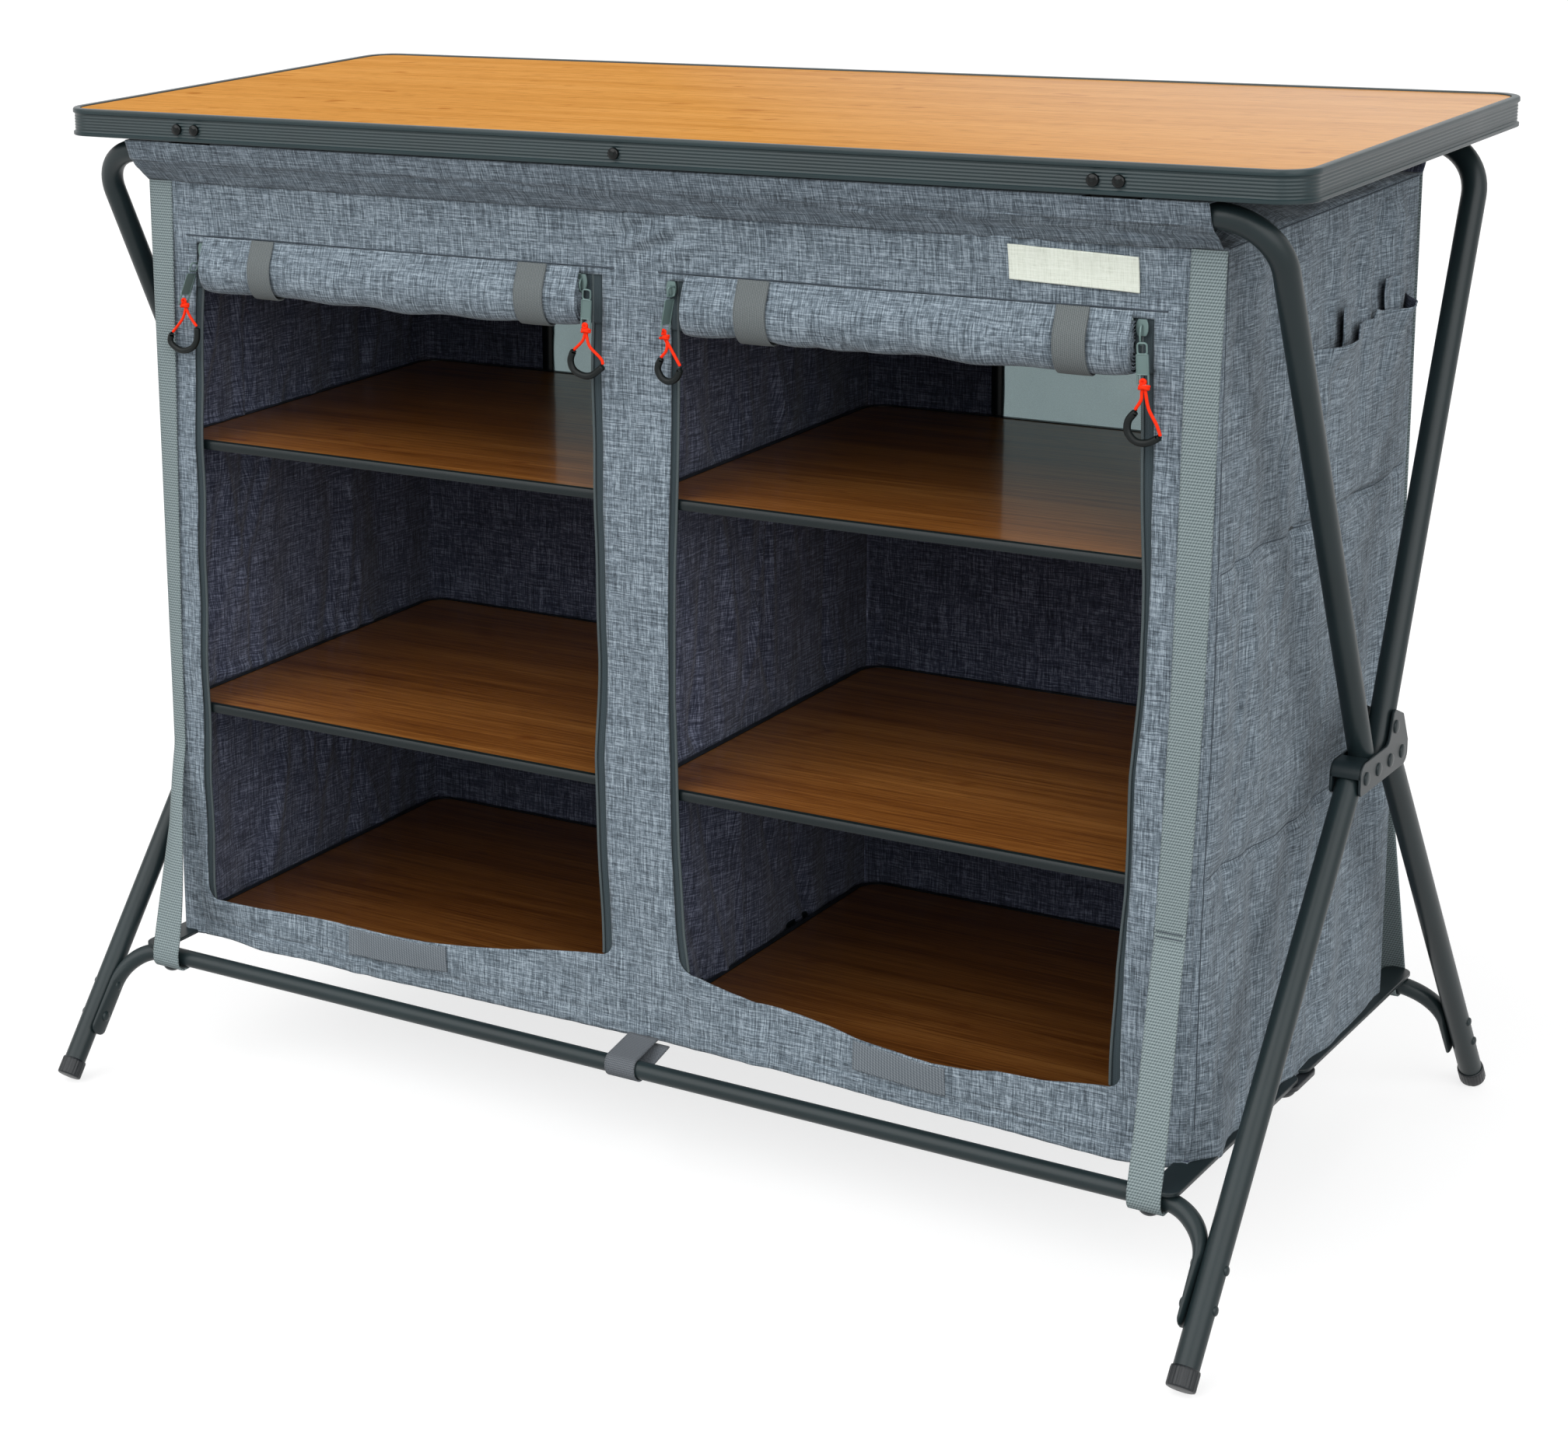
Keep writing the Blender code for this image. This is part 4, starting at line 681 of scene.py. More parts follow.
def make_legs():
    """Legs, their ribbed caps and the base bars that join them."""
    for place, side in PLACES.items():
        down = down_leg(side)
        body = place + "_legs"
        for word, hand in HANDS.items():
            x = hand * TUBE_X
            top = np.array((x, PIVOTS_Y[0] if side < 0 else PIVOTS_Y[3], PIVOT_Z)) - down * 0.005
            sole = sole_of(side, hand)
            parts = [tube([top, sole - down * 0.0033], TUBE_R, (1, 0, 0), 32)]
            for height in END_RIVETS_Z:
                spot = (x + hand * (TUBE_R - 0.0006), leg_y(side, height), height)
                parts.append(dome(spot, (hand, 0, 0), 0.0036, 0.0022))
            name = "%s_%%s_%s" % (place, word)
            piece(name % "leg_tube", parts, "steel", body, [name % "leg"])
            piece(name % "ribbed_cap", [ribbed_cap(sole, down)], "plastic", body, [name % "foot_cap"],
                  sharp=60)
        make_base_bar(place, side)


def ribbed_cap(sole, down):
    """A cup turned about the leg: its radius dips at each of its ribs, and its sole is ground flat."""
    radius = TUBE_R + 0.0012
    bore = TUBE_R + 0.0003
    profile = [(0, 0), (radius - 0.0014, 0), (radius - 0.0004, 0.0004), (radius, 0.0014), (radius, 0.0060),
               (radius, 0.0130), (radius - 0.0003, 0.0146), (bore, 0.0150), (bore, 0.0030), (0, 0.0030)]
    profile = np.maximum(np.array(profile), (1e-5, -1))
    turn = np.linspace(0, 2 * pi, 145)
    ribs = 0.00025 * (np.cos(24 * turn) < 0)
    deep = np.array([0, 0, 0, 1, 1, 1, 0, 0, 0, 0])
    size = profile[:, :1] - deep[:, None] * ribs
    across, other = np.array((1.0, 0, 0)), np.cross(down, (1.0, 0, 0))
    points = sole - profile[:, 1, None, None] * down + size[..., None] * (
        np.cos(turn)[:, None] * across + np.sin(turn)[:, None] * other)
    points[..., 2] = np.maximum(points[..., 2], 0.0)
    return patch(points, shut=True)


def make_base_bar(place, side):
    """A bar whose circle is pressed to a flat oval where its ends lie along the legs."""
    end_x = TUBE_X - TUBE_R - 0.0003 - FLAT[0]
    y = leg_y(side, BAR_Z)
    corners = [(-end_x, leg_y(side, BAR_END_Z), BAR_END_Z), (-end_x, y, BAR_Z), (end_x, y, BAR_Z),
               (end_x, leg_y(side, BAR_END_Z), BAR_END_Z)]
    path = bent(corners, BAR_BEND, 22)
    normal = np.cross(down_leg(side), (1, 0, 0))
    run = distances(path)
    share = eased(fade(np.minimum(run, run[-1] - run) - 0.028, 0.050))[:, None]
    size = np.array(FLAT) * (1 - share) + BAR_R * share
    parts = [tube(path, size, normal, 28, rounded=0.006)]
    for hand in HANDS.values():
        for height in END_RIVETS_Z:
            spot = (hand * (end_x - FLAT[0] + 0.0003), leg_y(side, height), height)
            parts.append(dome(spot, (-hand, 0, 0), 0.0045, 0.0028))
    if side > 0:
        for hand in HANDS.values():
            parts.append(dome((hand * RAIL_X, y, BAR_Z - BAR_R + 0.0004), (0, 0, -1), 0.0060, 0.0052))
    piece(place + "_low_bar", parts, "steel", place + "_legs", [place + "_base_bar"])


def make_brackets():
    """Each bracket is a bent channel: two plates of one rounded outline and the web that joins them. Four
    rivet heads sit in a row through each plate, and a fifth on its upper lobe."""
    margin, gap, plate = 0.0125, TUBE_R + 0.0003, 0.0020
    up = up_frame(1)
    back = np.array((0, up[2], -up[1]))
    third = np.array((0, PIVOTS_Y[2], PIVOT_Z))
    lobe = third + up * 0.0247
    front, rear = PIVOTS_Y[0] - margin, PIVOTS_Y[3] + margin
    low, high = PIVOT_Z - margin * 0.88, PIVOT_Z + margin
    tip_front = lobe + up * margin * 0.95 - back * margin * 0.75
    tip_rear = lobe + up * margin * 0.95 + back * margin
    waist = third - back * margin * 0.75 + up * margin * 1.02
    corners = [(front, low), (rear, low), (rear, PIVOT_Z + margin / 2), tip_rear[1:], tip_front[1:],
               (waist[1], high), (front, high)]
    outline = rounded_corners(corners, [0.004, 0.009, 0.004, 0.004, 0.004, 0.009, 0.009], 7)
    stop = 0.498 * margin + (TUBE_R + 0.0003) * hypot(1, 0.498)
    flange = PIVOTS_Y[1] - stop
    down = down_leg(-1)
    ahead = PIVOTS_Y[0] + down[2] * gap - (front + plate)
    web_low = PIVOT_Z - down[1] * gap - ahead * down[2] / down[1]
    web = [(front, web_low), (front + plate, web_low), (front + plate, high - plate), (flange, high - plate),
           (flange, high), (front, high)]
    web = rounded_corners(web, [0, 0, 0.007, 0, 0, 0.009], 7)
    for word, hand in HANDS.items():
        centre = hand * TUBE_X
        parts = []
        for shape, low_x, high_x in ((outline, -gap - plate, -gap), (outline, gap, gap + plate),
                                     (web, -gap - plate + 0.0002, gap + plate - 0.0002)):
            flat = np.column_stack([np.full(len(shape), centre), shape])
            parts.append(slab(flat, (1, 0, 0), low_x, high_x))
        piece("bracket_" + word, parts, "bracket", "cupboard", ["hinge_bracket_" + word],
              bevel=0.0005)
        heads = []
        for y, z in [(y, PIVOT_Z) for y in PIVOTS_Y] + [lobe[1:]]:
            for way in (-1, 1):
                heads.append(dome((centre + way * (gap + plate), y, z), (way, 0, 0), 0.0050, 0.0018))
        piece("bracket_rivets_" + word, heads, "steel", "cupboard", ())


def lying(outline):
    """A flat (x, y) outline as points at height zero."""
    return np.column_stack([outline, np.zeros(len(outline))])


def make_rails():
    """Each side rail: two flat strips with round ends, the bolt that holds the front strip to the base bar,
    and the link between the strips with its pins' domed heads."""
    top = BAR_Z + BAR_R + 0.0003
    front_y = leg_y(-1, BAR_Z)
    middle = (front_y + leg_y(1, BAR_Z)) / 2
    for word, hand in HANDS.items():
        x = hand * (RAIL_X + RAIL_SHIFT)
        for place in PLACES:
            name = "rail_%s_%s" % (place, word)
            low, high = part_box(name)
            corners = [(x - 0.011, low.y), (x + 0.011, low.y), (x + 0.011, high.y), (x - 0.011, high.y)]
            strip = slab(lying(rounded_corners(corners, [0.010] * 4, 7)), (0, 0, 1), low.z, high.z)
            piece("strip_%s_%s" % (place, word), [strip], "bracket", name, [name],
                  bevel=0.0005)
        neck = [(0, 0.0100), (0.0025, 0.0100), (0.0025, -0.0068), (0.0025, -0.0073)]
        head = [(0.0080 * cos(t), -0.0078 - 0.0062 * sin(t)) for t in np.linspace(0, pi / 2, 7)]
        bolt = turned((hand * BOLT_X, front_y, BAR_Z), (0, 0, 1), neck + [(0.0080, -0.0073)] + head, 22)
        piece("bolt_" + word, [bolt], "bracket", "rail_bolt_" + word, ["rail_bolt_" + word])
        ends = [np.array((x, middle + way * 0.016)) for way in (-1, 1)]
        turns = [np.linspace(pi, 2 * pi, 17), np.linspace(0, pi, 17)]
        outline = np.concatenate([end + 0.0130 * on_circle(turn) for end, turn in zip(ends, turns)])
        parts = [slab(lying(outline), (0, 0, 1), top - 0.0040, top - 0.0003)]
        for end in ends:
            spot = (end[0], end[1], top - 0.0040)
            parts.append(dome(spot, (0, 0, -1), 0.0105, 0.0075))
            parts.append(turned(spot, (0, 0, 1), [(0, 0), (0.0025, 0), (0.0025, 0.0069), (0, 0.0069)], 18))
        piece("knuckle_" + word, parts, "plastic", "rail_link_" + word, ["rail_link_" + word],
              bevel=0.0006)


def corner_radius(hand, side, z):
    """Radius of an upright corner of the cupboard: the front right one slackens toward the floor."""
    slack = np.interp(z, (0.28, 0.50), (0.028, 0.005))
    return np.where((hand > 0) & (side < 0), slack, CORNER)


def rounding(far, radius):
    """Where a point of a wall, at some distance from its sharp corner, goes on an arc of the radius: its
    distance from the corner's line and its step back from the wall. The corner goes to the arc's middle."""
    turn = (1 - np.clip(far / radius, 0, 1)) * pi / 4
    return np.where(far < radius, radius - radius * np.sin(turn), far), radius - radius * np.cos(turn)


def warped(x, z):
    """X of a point of the front once the doors' edges have taken their real lines: between two edges it moves
    by shares of what they move."""
    before = (-SIDE_X, DOORS[0][0], DOORS[0][1], DOORS[1][0], DOORS[1][1], SIDE_X)
    after = [-SIDE_X] + [np.interp(z, *edge.T) for edge in EDGES.values()] + [SIDE_X]
    moved = np.full(np.broadcast(x, z).shape, -SIDE_X)
    for low, high, new_low, new_high in zip(before, before[1:], after, after[1:]):
        moved = moved + (new_high - new_low) * np.clip((x - low) / (high - low), 0, 1)
    return moved


def relief(x, z):
    """How far the front stands off its plane: soft folds and creases, a few strong folds in the middle of the
    header, puckers under the roof's seam, the hem, the wavy lip under the doors and the stitched grooves
    beside the doors. They die out at the corners."""
    edge = fade(SIDE_X - np.abs(x), 0.03)
    soft = 0.0016 * unevenness(x, z, 3, 3, 11) * edge
    folds = 0.0030 * pinch(z, 0.738, 0.020) * pinch(x, 0.020, 0.035) * np.sin((z - 0.5 * x) * 260)
    folds = fade(z - 0.716, 0.020) * folds
    puckers = 0.0008 * np.sin(x * 190 + 3 * np.sin(x * 23)) * pinch(z, 0.7565, 0.008) * edge
    low = hem_z(x)
    hem = 0.0006 * np.sin(x * 330 + 2 * np.sin(x * 41)) * pinch(z, low + 0.006, 0.006)
    hem = hem - 0.0010 * pinch(z, low + 0.0135, 0.0016)
    lip = 0.0030 * np.sin(x * 28 + 1.0) * pinch(z, 0.150, 0.022) * (np.abs(x) > 0.05)
    marks = 0.0009 * creases(x, z, 71, 60, SIDE_X, 0.0) * edge
    lines = [np.interp(z, *line.T) + way * 0.0105 for way, line in zip((-1, 1, -1, 1), EDGES.values())]
    stitches = 0.0007 * sum(pinch(x, line, 0.0009) for line in lines) * fade(0.70 - z, 0.02)
    return soft + folds + puckers + (hem + lip) * edge + marks - stitches + header_lean(x, z)


def on_front(x, z, off=0.0):
    """Point of the front, off metres before it; near the upright corners it bends round them."""
    x, z = np.broadcast_arrays(x, z)
    far = SIDE_X - np.abs(x)
    along, back = rounding(far, corner_radius(np.sign(x), -1, z))
    return np.stack([np.sign(x) * (SIDE_X - along), back - FACE_Y - relief(x, z) - off, z], -1)


# Worktop

def make_rim():
    """The rim's ribbed section carried once round a rounded rectangle, and the screws in its front."""
    width, depth, top = TABLE
    low = top - 0.022
    rib_z = np.linspace(low + 0.0032, top - 0.0046, 25)
    ribs = np.column_stack([0.0012 + 0.00045 * (0.5 - 0.5 * np.cos(np.arange(25) * pi / 2)), rib_z])
    foot = [(0.0004, low), (0, low + 0.0004), (0, low + 0.0026), (0.0010, low + 0.0030)]
    crown = [(0.0010, top - 0.0043), (0.0001, top - 0.0038), (0, top - 0.0032), (0.0001, top - 0.0012),
             (0.0005, top - 0.0004), (0.0013, top), (0.0052, top), (0.0060, top - 0.0003),
             (0.0062, top - 0.0013), (0.0036, top - 0.0014)]
    channel = [(0.0036, top - 0.0070), (0.0100, top - 0.0070), (0.0100, top - 0.0084), (0.0036, top - 0.0084),
               (0.0036, low + 0.0014), (0.0100, low + 0.0014), (0.0100, low), (0.0004, low)]
    rows = []
    for inset, height in np.concatenate([foot, ribs, crown, channel]):
        run = rounded_rectangle(width - 2 * inset, depth - 2 * inset, TABLE_CORNER - inset)
        rows.append(np.column_stack([run, np.full(len(run), height)]))
    piece("ribbed_rim", [patch(np.array(rows))], "rim", "worktop", ["worktop_rim"], sharp=30)
    screws, socket_discs = [], []
    hole = [(0, 0), (0.0014, 0), (0.0014, 0.0003), (0, 0.0003)]
    for x in SCREWS_X:
        spot = np.array((x, -depth / 2 + 0.0014, top - 0.0125))
        screws.append(dome(spot, (0, -1, 0), 0.0044, 0.0032, 0.0014))
        # Each socket is a thin matte black disc on the head, painted shade of its hex hole
        socket_discs.append(turned(spot + (0, -0.0030, 0), (0, -1, 0), hole, 6))
    piece("rim_screws", screws, "screw", "worktop")
    piece("screw_sockets", socket_discs, "grip", "worktop")


def make_bindings():
    """Each shelf or floor board is edged with a C-shaped binding carried round its outline; the floor boards'
    is less deep."""
    section = np.array([(-0.0040, 0.0006), (0.0005, 0.0007), (0.0011, 0.0002), (0.0012, -0.0058),
                        (0.0008, -0.0066), (-0.0040, -0.0067), (-0.0040, -0.0061), (0.0002, -0.0060),
                        (0.0002, 0.0001), (-0.0040, 0.0001), (-0.0040, 0.0006)])
    for word in HANDS:
        for level in LEVELS:
            low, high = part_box("%s_board_%s" % (level, word))
            width, depth = high.x - low.x, high.y - low.y
            centre = ((low.x + high.x) / 2, (low.y + high.y) / 2)
            drop = 0.66 if level == "floor" else 1.0
            rows = []
            for out, up in section:
                run = rounded_rectangle(width + 2 * out, depth + 2 * out, 0.022 + out, centre, 8)
                rows.append(np.column_stack([run, np.full(len(run), high.z + up * (drop if up < 0 else 1))]))
            piece(level + "_binding_" + word, [patch(np.array(rows))], "binding", "cupboard", sharp=50)


# Cloth

def hem_z(x):
    """Height of the cupboard's lower edge in front."""
    return np.interp(x, HEM[:, 0], HEM[:, 1])


def header_lean(x, z):
    """How far the flap's pull draws the front's top edge forward; none under the webbing."""
    across = fade(SIDE_X - 0.026 - np.abs(x), 0.020)
    share = fade(z - 0.712, ROOF_Z - 0.712)
    return HEADER_LEAN * across * share * share


def door_columns():
    """X of the front's columns: close together where the doors' and the cupboard's corners are round."""
    round_in = DOOR_CORNER * (1 - np.cos(np.linspace(0, pi / 2, 7)))
    columns = [np.linspace(-SIDE_X, -SIDE_X + STRIP, 17)[:-1]]
    start = -SIDE_X + STRIP
    for left, right in DOORS:
        columns.append(np.linspace(start, left, 9 if start < -0.1 else 16)[:-1])
        columns.append(left + round_in[:-1])
        columns.append(np.linspace(left + DOOR_CORNER, right - DOOR_CORNER, 110)[:-1])
        columns.append((right - round_in)[::-1][:-1])
        start = right
    columns.append(np.linspace(start, SIDE_X - STRIP, 9)[:-1])
    columns.append(np.linspace(SIDE_X - STRIP, SIDE_X, 17))
    return np.concatenate(columns)


def lip_z(x):
    """Height of the upper edge of the cloth under the doors, drawn up round at the doors' corners."""
    level = np.full(np.shape(x), np.nan)
    moved = warped(x, 0.160)
    jambs = [(-SIDE_X, LIP_LEFT[0, 1])]
    for (left, right), lip in zip(DOORS, (LIP_LEFT, LIP_RIGHT)):
        inside = (x >= left - 1e-9) & (x <= right + 1e-9)
        base = np.interp(moved, lip[:, 0], lip[:, 1])
        near = np.clip(DOOR_CORNER - np.minimum(x - left, right - x), 0, DOOR_CORNER)
        drawn = DOOR_CORNER - np.sqrt(np.maximum(DOOR_CORNER ** 2 - near ** 2, 0))
        level = np.where(inside, base + drawn, level)
        jambs += [(left, lip[0, 1]), (right, lip[-1, 1])]
    jambs = np.array(jambs + [(SIDE_X, LIP_RIGHT[-1, 1])])
    return np.where(np.isnan(level), np.interp(x, jambs[:, 0], jambs[:, 1] + DOOR_CORNER), level)


def face_patch(x, low, high, rows):
    """Part of the front: columns at x, each run from a low to a high height."""
    z = low + (high - low) * np.linspace(0, 1, rows)[:, None] + 0 * x
    x = warped(np.broadcast_to(x, z.shape), z)
    return patch(on_front(x, z), stacked(x, z), facing=(0, -1, 0))


def make_front():
    """The front in one cloth: the band under the doors, three uprights between them and the header."""
    x = door_columns()
    parts = [face_patch(x, hem_z(x), lip_z(x), 24), face_patch(x, DOOR_TOP, ROOF_Z, 26)]
    spans = [(-SIDE_X, DOORS[0][0]), (DOORS[0][1], DOORS[1][0]), (DOORS[1][1], SIDE_X)]
    for low, high in spans:
        near = x[(x > low - 1e-6) & (x < high + 1e-6)]
        parts.append(face_patch(near, lip_z(near), DOOR_TOP, 120))
    made = piece("front_cloth", parts, "cloth", "cupboard", ["front_panel"], wall=CLOTH,
                 shell=False, lining="lining")


def side_seams(y):
    """Heights of a side's two seams, which wander a little."""
    return [level + 0.002 * np.sin(y * wave) for level, wave in ((0.539, 40), (0.319, 33))]


def side_bulge(y, z, hand):
    """How far a side stands off its plane: it bellies outward a little between its seams, with upright folds
    and creases, puckers and a pinch at each of its two seams, and on the right side a pleat. The left side,
    seen from inside, is creased most."""
    edge = eased(fade(FACE_Y - np.abs(y), 0.035) * fade(ROOF_Z - z, 0.03))
    folds = 0.0030 * unevenness(y * 1.6, z * 0.45, 21 + hand, 4, 13)
    depth = 0.0066 if hand < 0 else 0.0020
    wrinkles = 0.0008 * unevenness(y, z, 5 + hand, 14, 34) + depth * creases(y, z, 81 + hand, 46, FACE_Y, 0.1)
    lines = side_seams(y)
    seams = sum(pinch(z, line, 0.005) for line in lines)
    puckers = sum(pinch(z, line - 0.012, 0.014) for line in lines) * np.sin(y * 150 + 2.5 * np.sin(y * 37))
    pleat = 0.0050 * pinch(y + 0.080 + (z - 0.585) * 0.12, 0.0, 0.006)
    pleat = pleat * fade(z - 0.54, 0.03) * fade(0.640 - z, 0.05)
    return edge * (folds + wrinkles + 0.002 - 0.0030 * seams + 0.0008 * puckers - pleat * (hand > 0))


def on_side(y, z, hand, off=0.0):
    """Point of a side, off metres outside it; near the upright corners it bends round them."""
    y, z = np.broadcast_arrays(y, z)
    along, back = rounding(FACE_Y - np.abs(y), corner_radius(hand, np.sign(y), z))
    out = SIDE_X - back + side_bulge(y, z, hand) + off
    return np.stack([hand * out, np.sign(y) * (FACE_Y - along), z], -1)


def make_sides():
    """Both sides, each from its lower edge up to the roof."""
    y = np.concatenate([np.linspace(-FACE_Y, -FACE_Y + STRIP, 17)[:-1],
                        np.linspace(-FACE_Y + STRIP, FACE_Y - STRIP, 138),
                        np.linspace(FACE_Y - STRIP, FACE_Y, 17)[1:]])
    low = np.interp(y, *SIDE_HEM.T)
    z = low + (ROOF_Z - low) * np.linspace(0, 1, 220)[:, None]
    for word, hand in HANDS.items():
        cloth = patch(on_side(y, z, hand), stacked(y, z), facing=(hand, 0, 0))
        made = piece("side_cloth_" + word, [cloth], "cloth", "cupboard", ["side_panel_" + word],
                     wall=CLOTH, shell=False, lining="lining")


def make_inner_cloths():
    """The divider between the two compartments, and the floor cloth, which sags a little."""
    half, top = FACE_Y - 0.004, 0.757
    z, y = mesh_grid(np.linspace(FLOOR_Z + 0.003, top, 200), np.linspace(-half, half, 150))
    edge = fade(half - np.abs(y), 0.04) * fade(top - z, 0.05)
    fold = 0.0030 * unevenness(y * 1.8, z * 0.5, 8, 5, 15) + 0.0068 * creases(y, z, 17, 52, FACE_Y, -0.2)
    ledges = np.minimum(*(np.abs(z - ledge) for ledge in LEDGES_Z))
    fold = fold * edge * np.clip(ledges / 0.02, 0.12, 1)
    cloth = patch(stacked(fold, y, z), stacked(y, z), facing=(1, 0, 0))
    # The divider is all of the inner cloth, whose darkness is partly painted shade
    made = piece("divider_cloth", [cloth], "lining", "cupboard", ["divider_panel"], wall=CLOTH,
                 shell=False, offset=0)
    x, y = mesh_grid(np.linspace(-SIDE_X + 0.006, SIDE_X - 0.006, 90),
                     np.linspace(-FACE_Y + 0.006, FACE_Y - 0.006, 50))
    sag = FLOOR_Z - 0.0012 * (1 - (x / SIDE_X) ** 2) + 0.0003 * unevenness(x, y, 12, 6, 20)
    cloth = patch(stacked(x, y, sag), stacked(x, y), facing=(0, 0, -1))
    made = piece("floor_cloth", [cloth], "cloth", "cupboard", ["floor_panel"], wall=CLOTH,
                 shell=False, offset=0, lining="lining")


def on_back(x, z, off=0.0):
    """Point of the back, off metres behind it, with soft folds that die out at its edges, and creases below
    the windows."""
    x, z = np.broadcast_arrays(x, z)
    edge = fade(SIDE_X - np.abs(x), 0.04) * fade(ROOF_Z - z, 0.03)
    folds = 0.0024 * unevenness(x * 1.5, z * 0.5, 31, 3, 9) + 0.0010 * unevenness(x, z, 32, 14, 34)
    folds = folds + 0.0044 * creases(x, z, 33, 70, SIDE_X, 0.1) * fade(WINDOW_Z[0] - 0.010 - z, 0.030)
    along, back = rounding(SIDE_X - np.abs(x), corner_radius(np.sign(x), 1, z))
    return np.stack([np.sign(x) * (SIDE_X - along), FACE_Y - back + edge * folds + off, z], -1)


def back_grid():
    """X and z of the back cloth's points: rows and columns lie along the windows' edges."""
    marks = sorted([edge for window in WINDOWS for edge in window])
    x = [np.linspace(-SIDE_X, -SIDE_X + STRIP, 13)[:-1]]
    for low, high in zip([-SIDE_X + STRIP] + marks, marks + [SIDE_X - STRIP]):
        x.append(np.linspace(low, high, max(4, int((high - low) / 0.006)))[:-1])
    x = np.concatenate(x + [np.linspace(SIDE_X - STRIP, SIDE_X, 13)])
    low = SIDE_HEM[-1, 1] - 0.002 * fade(SIDE_X - np.abs(x), 0.03)
    z = np.concatenate([np.linspace(0, 1, 100)[:, None] * (WINDOW_Z[0] - low) + low,
                        np.linspace(*WINDOW_Z, 26)[1:, None] + 0 * x,
                        np.linspace(WINDOW_Z[1], ROOF_Z, 9)[1:, None] + 0 * x])
    return np.broadcast_to(x, z.shape), z


def roof_rise(x, y):
    """How far the roof stands above its edges: it climbs from each side toward the table."""
    share = fade(SIDE_X - np.abs(x), 0.060)
    share = share * (2 - share) * fade(0.188 - np.abs(y), 0.030)
    return 0.016 * share + 0.0016 * unevenness(x, y, 14, 6, 26) * np.sqrt(share)


def make_back():
    """The back cloth with a hole for each window, a pane just inside it and a dark border round it."""
    x, z = back_grid()
    centre_x = (x[:-1, :-1] + x[1:, 1:]) / 2
    centre_z = (z[:-1, :-1] + z[1:, 1:]) / 2
    hole = np.zeros(centre_x.shape, bool)
    for left, right in WINDOWS:
        hole |= (centre_x > left) & (centre_x < right) & (centre_z > WINDOW_Z[0]) & (centre_z < WINDOW_Z[1])
    cloth = patch(on_back(x, z), stacked(x, z), keep=~hole, facing=(0, 1, 0))
    made = piece("back_cloth", [cloth], "cloth", "cupboard", ["back_panel"], wall=CLOTH,
                 shell=False, lining="lining")
    panes, borders = [], []
    low, high = WINDOW_Z
    for left, right in WINDOWS:
        x, z = mesh_grid(np.linspace(left - 0.006, right + 0.006, 30),
                         np.linspace(low - 0.006, high + 0.006, 20))
        panes.append(patch(on_back(x, z, -0.0022)))
        middle = ((left + right) / 2, (low + high) / 2)
        runs = [rounded_rectangle(right - left + grow, high - low + grow, 0.004 + grow / 2, middle, 5)
                for grow in (0.020, 0.010, -0.001)]
        borders.append(patch(np.stack([on_back(run[:, 0], run[:, 1], -0.0034) for run in runs])))
    piece("window_panes", panes, "pane", "cupboard", wall=0.0006, shell=False)
    piece("window_edges", borders, "binding", "cupboard", wall=0.0006, shell=False)


def sleeve_run(side, lean):
    """(y, z) points of a flap and the number of its first point past the lip: from the roof's edge straight
    to the bar, a little way round it, straight on to a lip under the table, and back over and behind it."""
    centre = np.array((TOP_BARS_Y[side], TOP_BAR_Z))
    edge = np.array((side * (FACE_Y + 0.0012 + lean), ROOF_Z - 0.0012))
    lip = centre + (side * 0.0152, 0.0094)
    keep = TUBE_R + 0.0018
    turns = []
    for point, way in ((edge, side), (lip, -side)):
        away = point - centre
        turns.append(atan2(away[1], away[0]) + way * acos(keep / hypot(*away)))
    if side < 0 < turns[1]:
        turns[1] -= 2 * pi
    loop = centre + keep * on_circle(np.linspace(*turns, 8))
    turn = np.linspace(radians(90 - side * 10), radians(90 + side * 100), 12)
    over = centre + (keep - 0.0006) * on_circle(turn)
    rise = edge + (loop[0] - edge) * np.linspace(0, 1, 12)[:-1, None]
    reach = loop[-1] + (lip - loop[-1]) * np.linspace(0, 1, 8)[:, None]
    run = [rise, loop[:-1], reach, [lip + (-side * 0.0012, 0.0009)], over]
    return np.concatenate(run), sum(len(part) for part in run[:3])


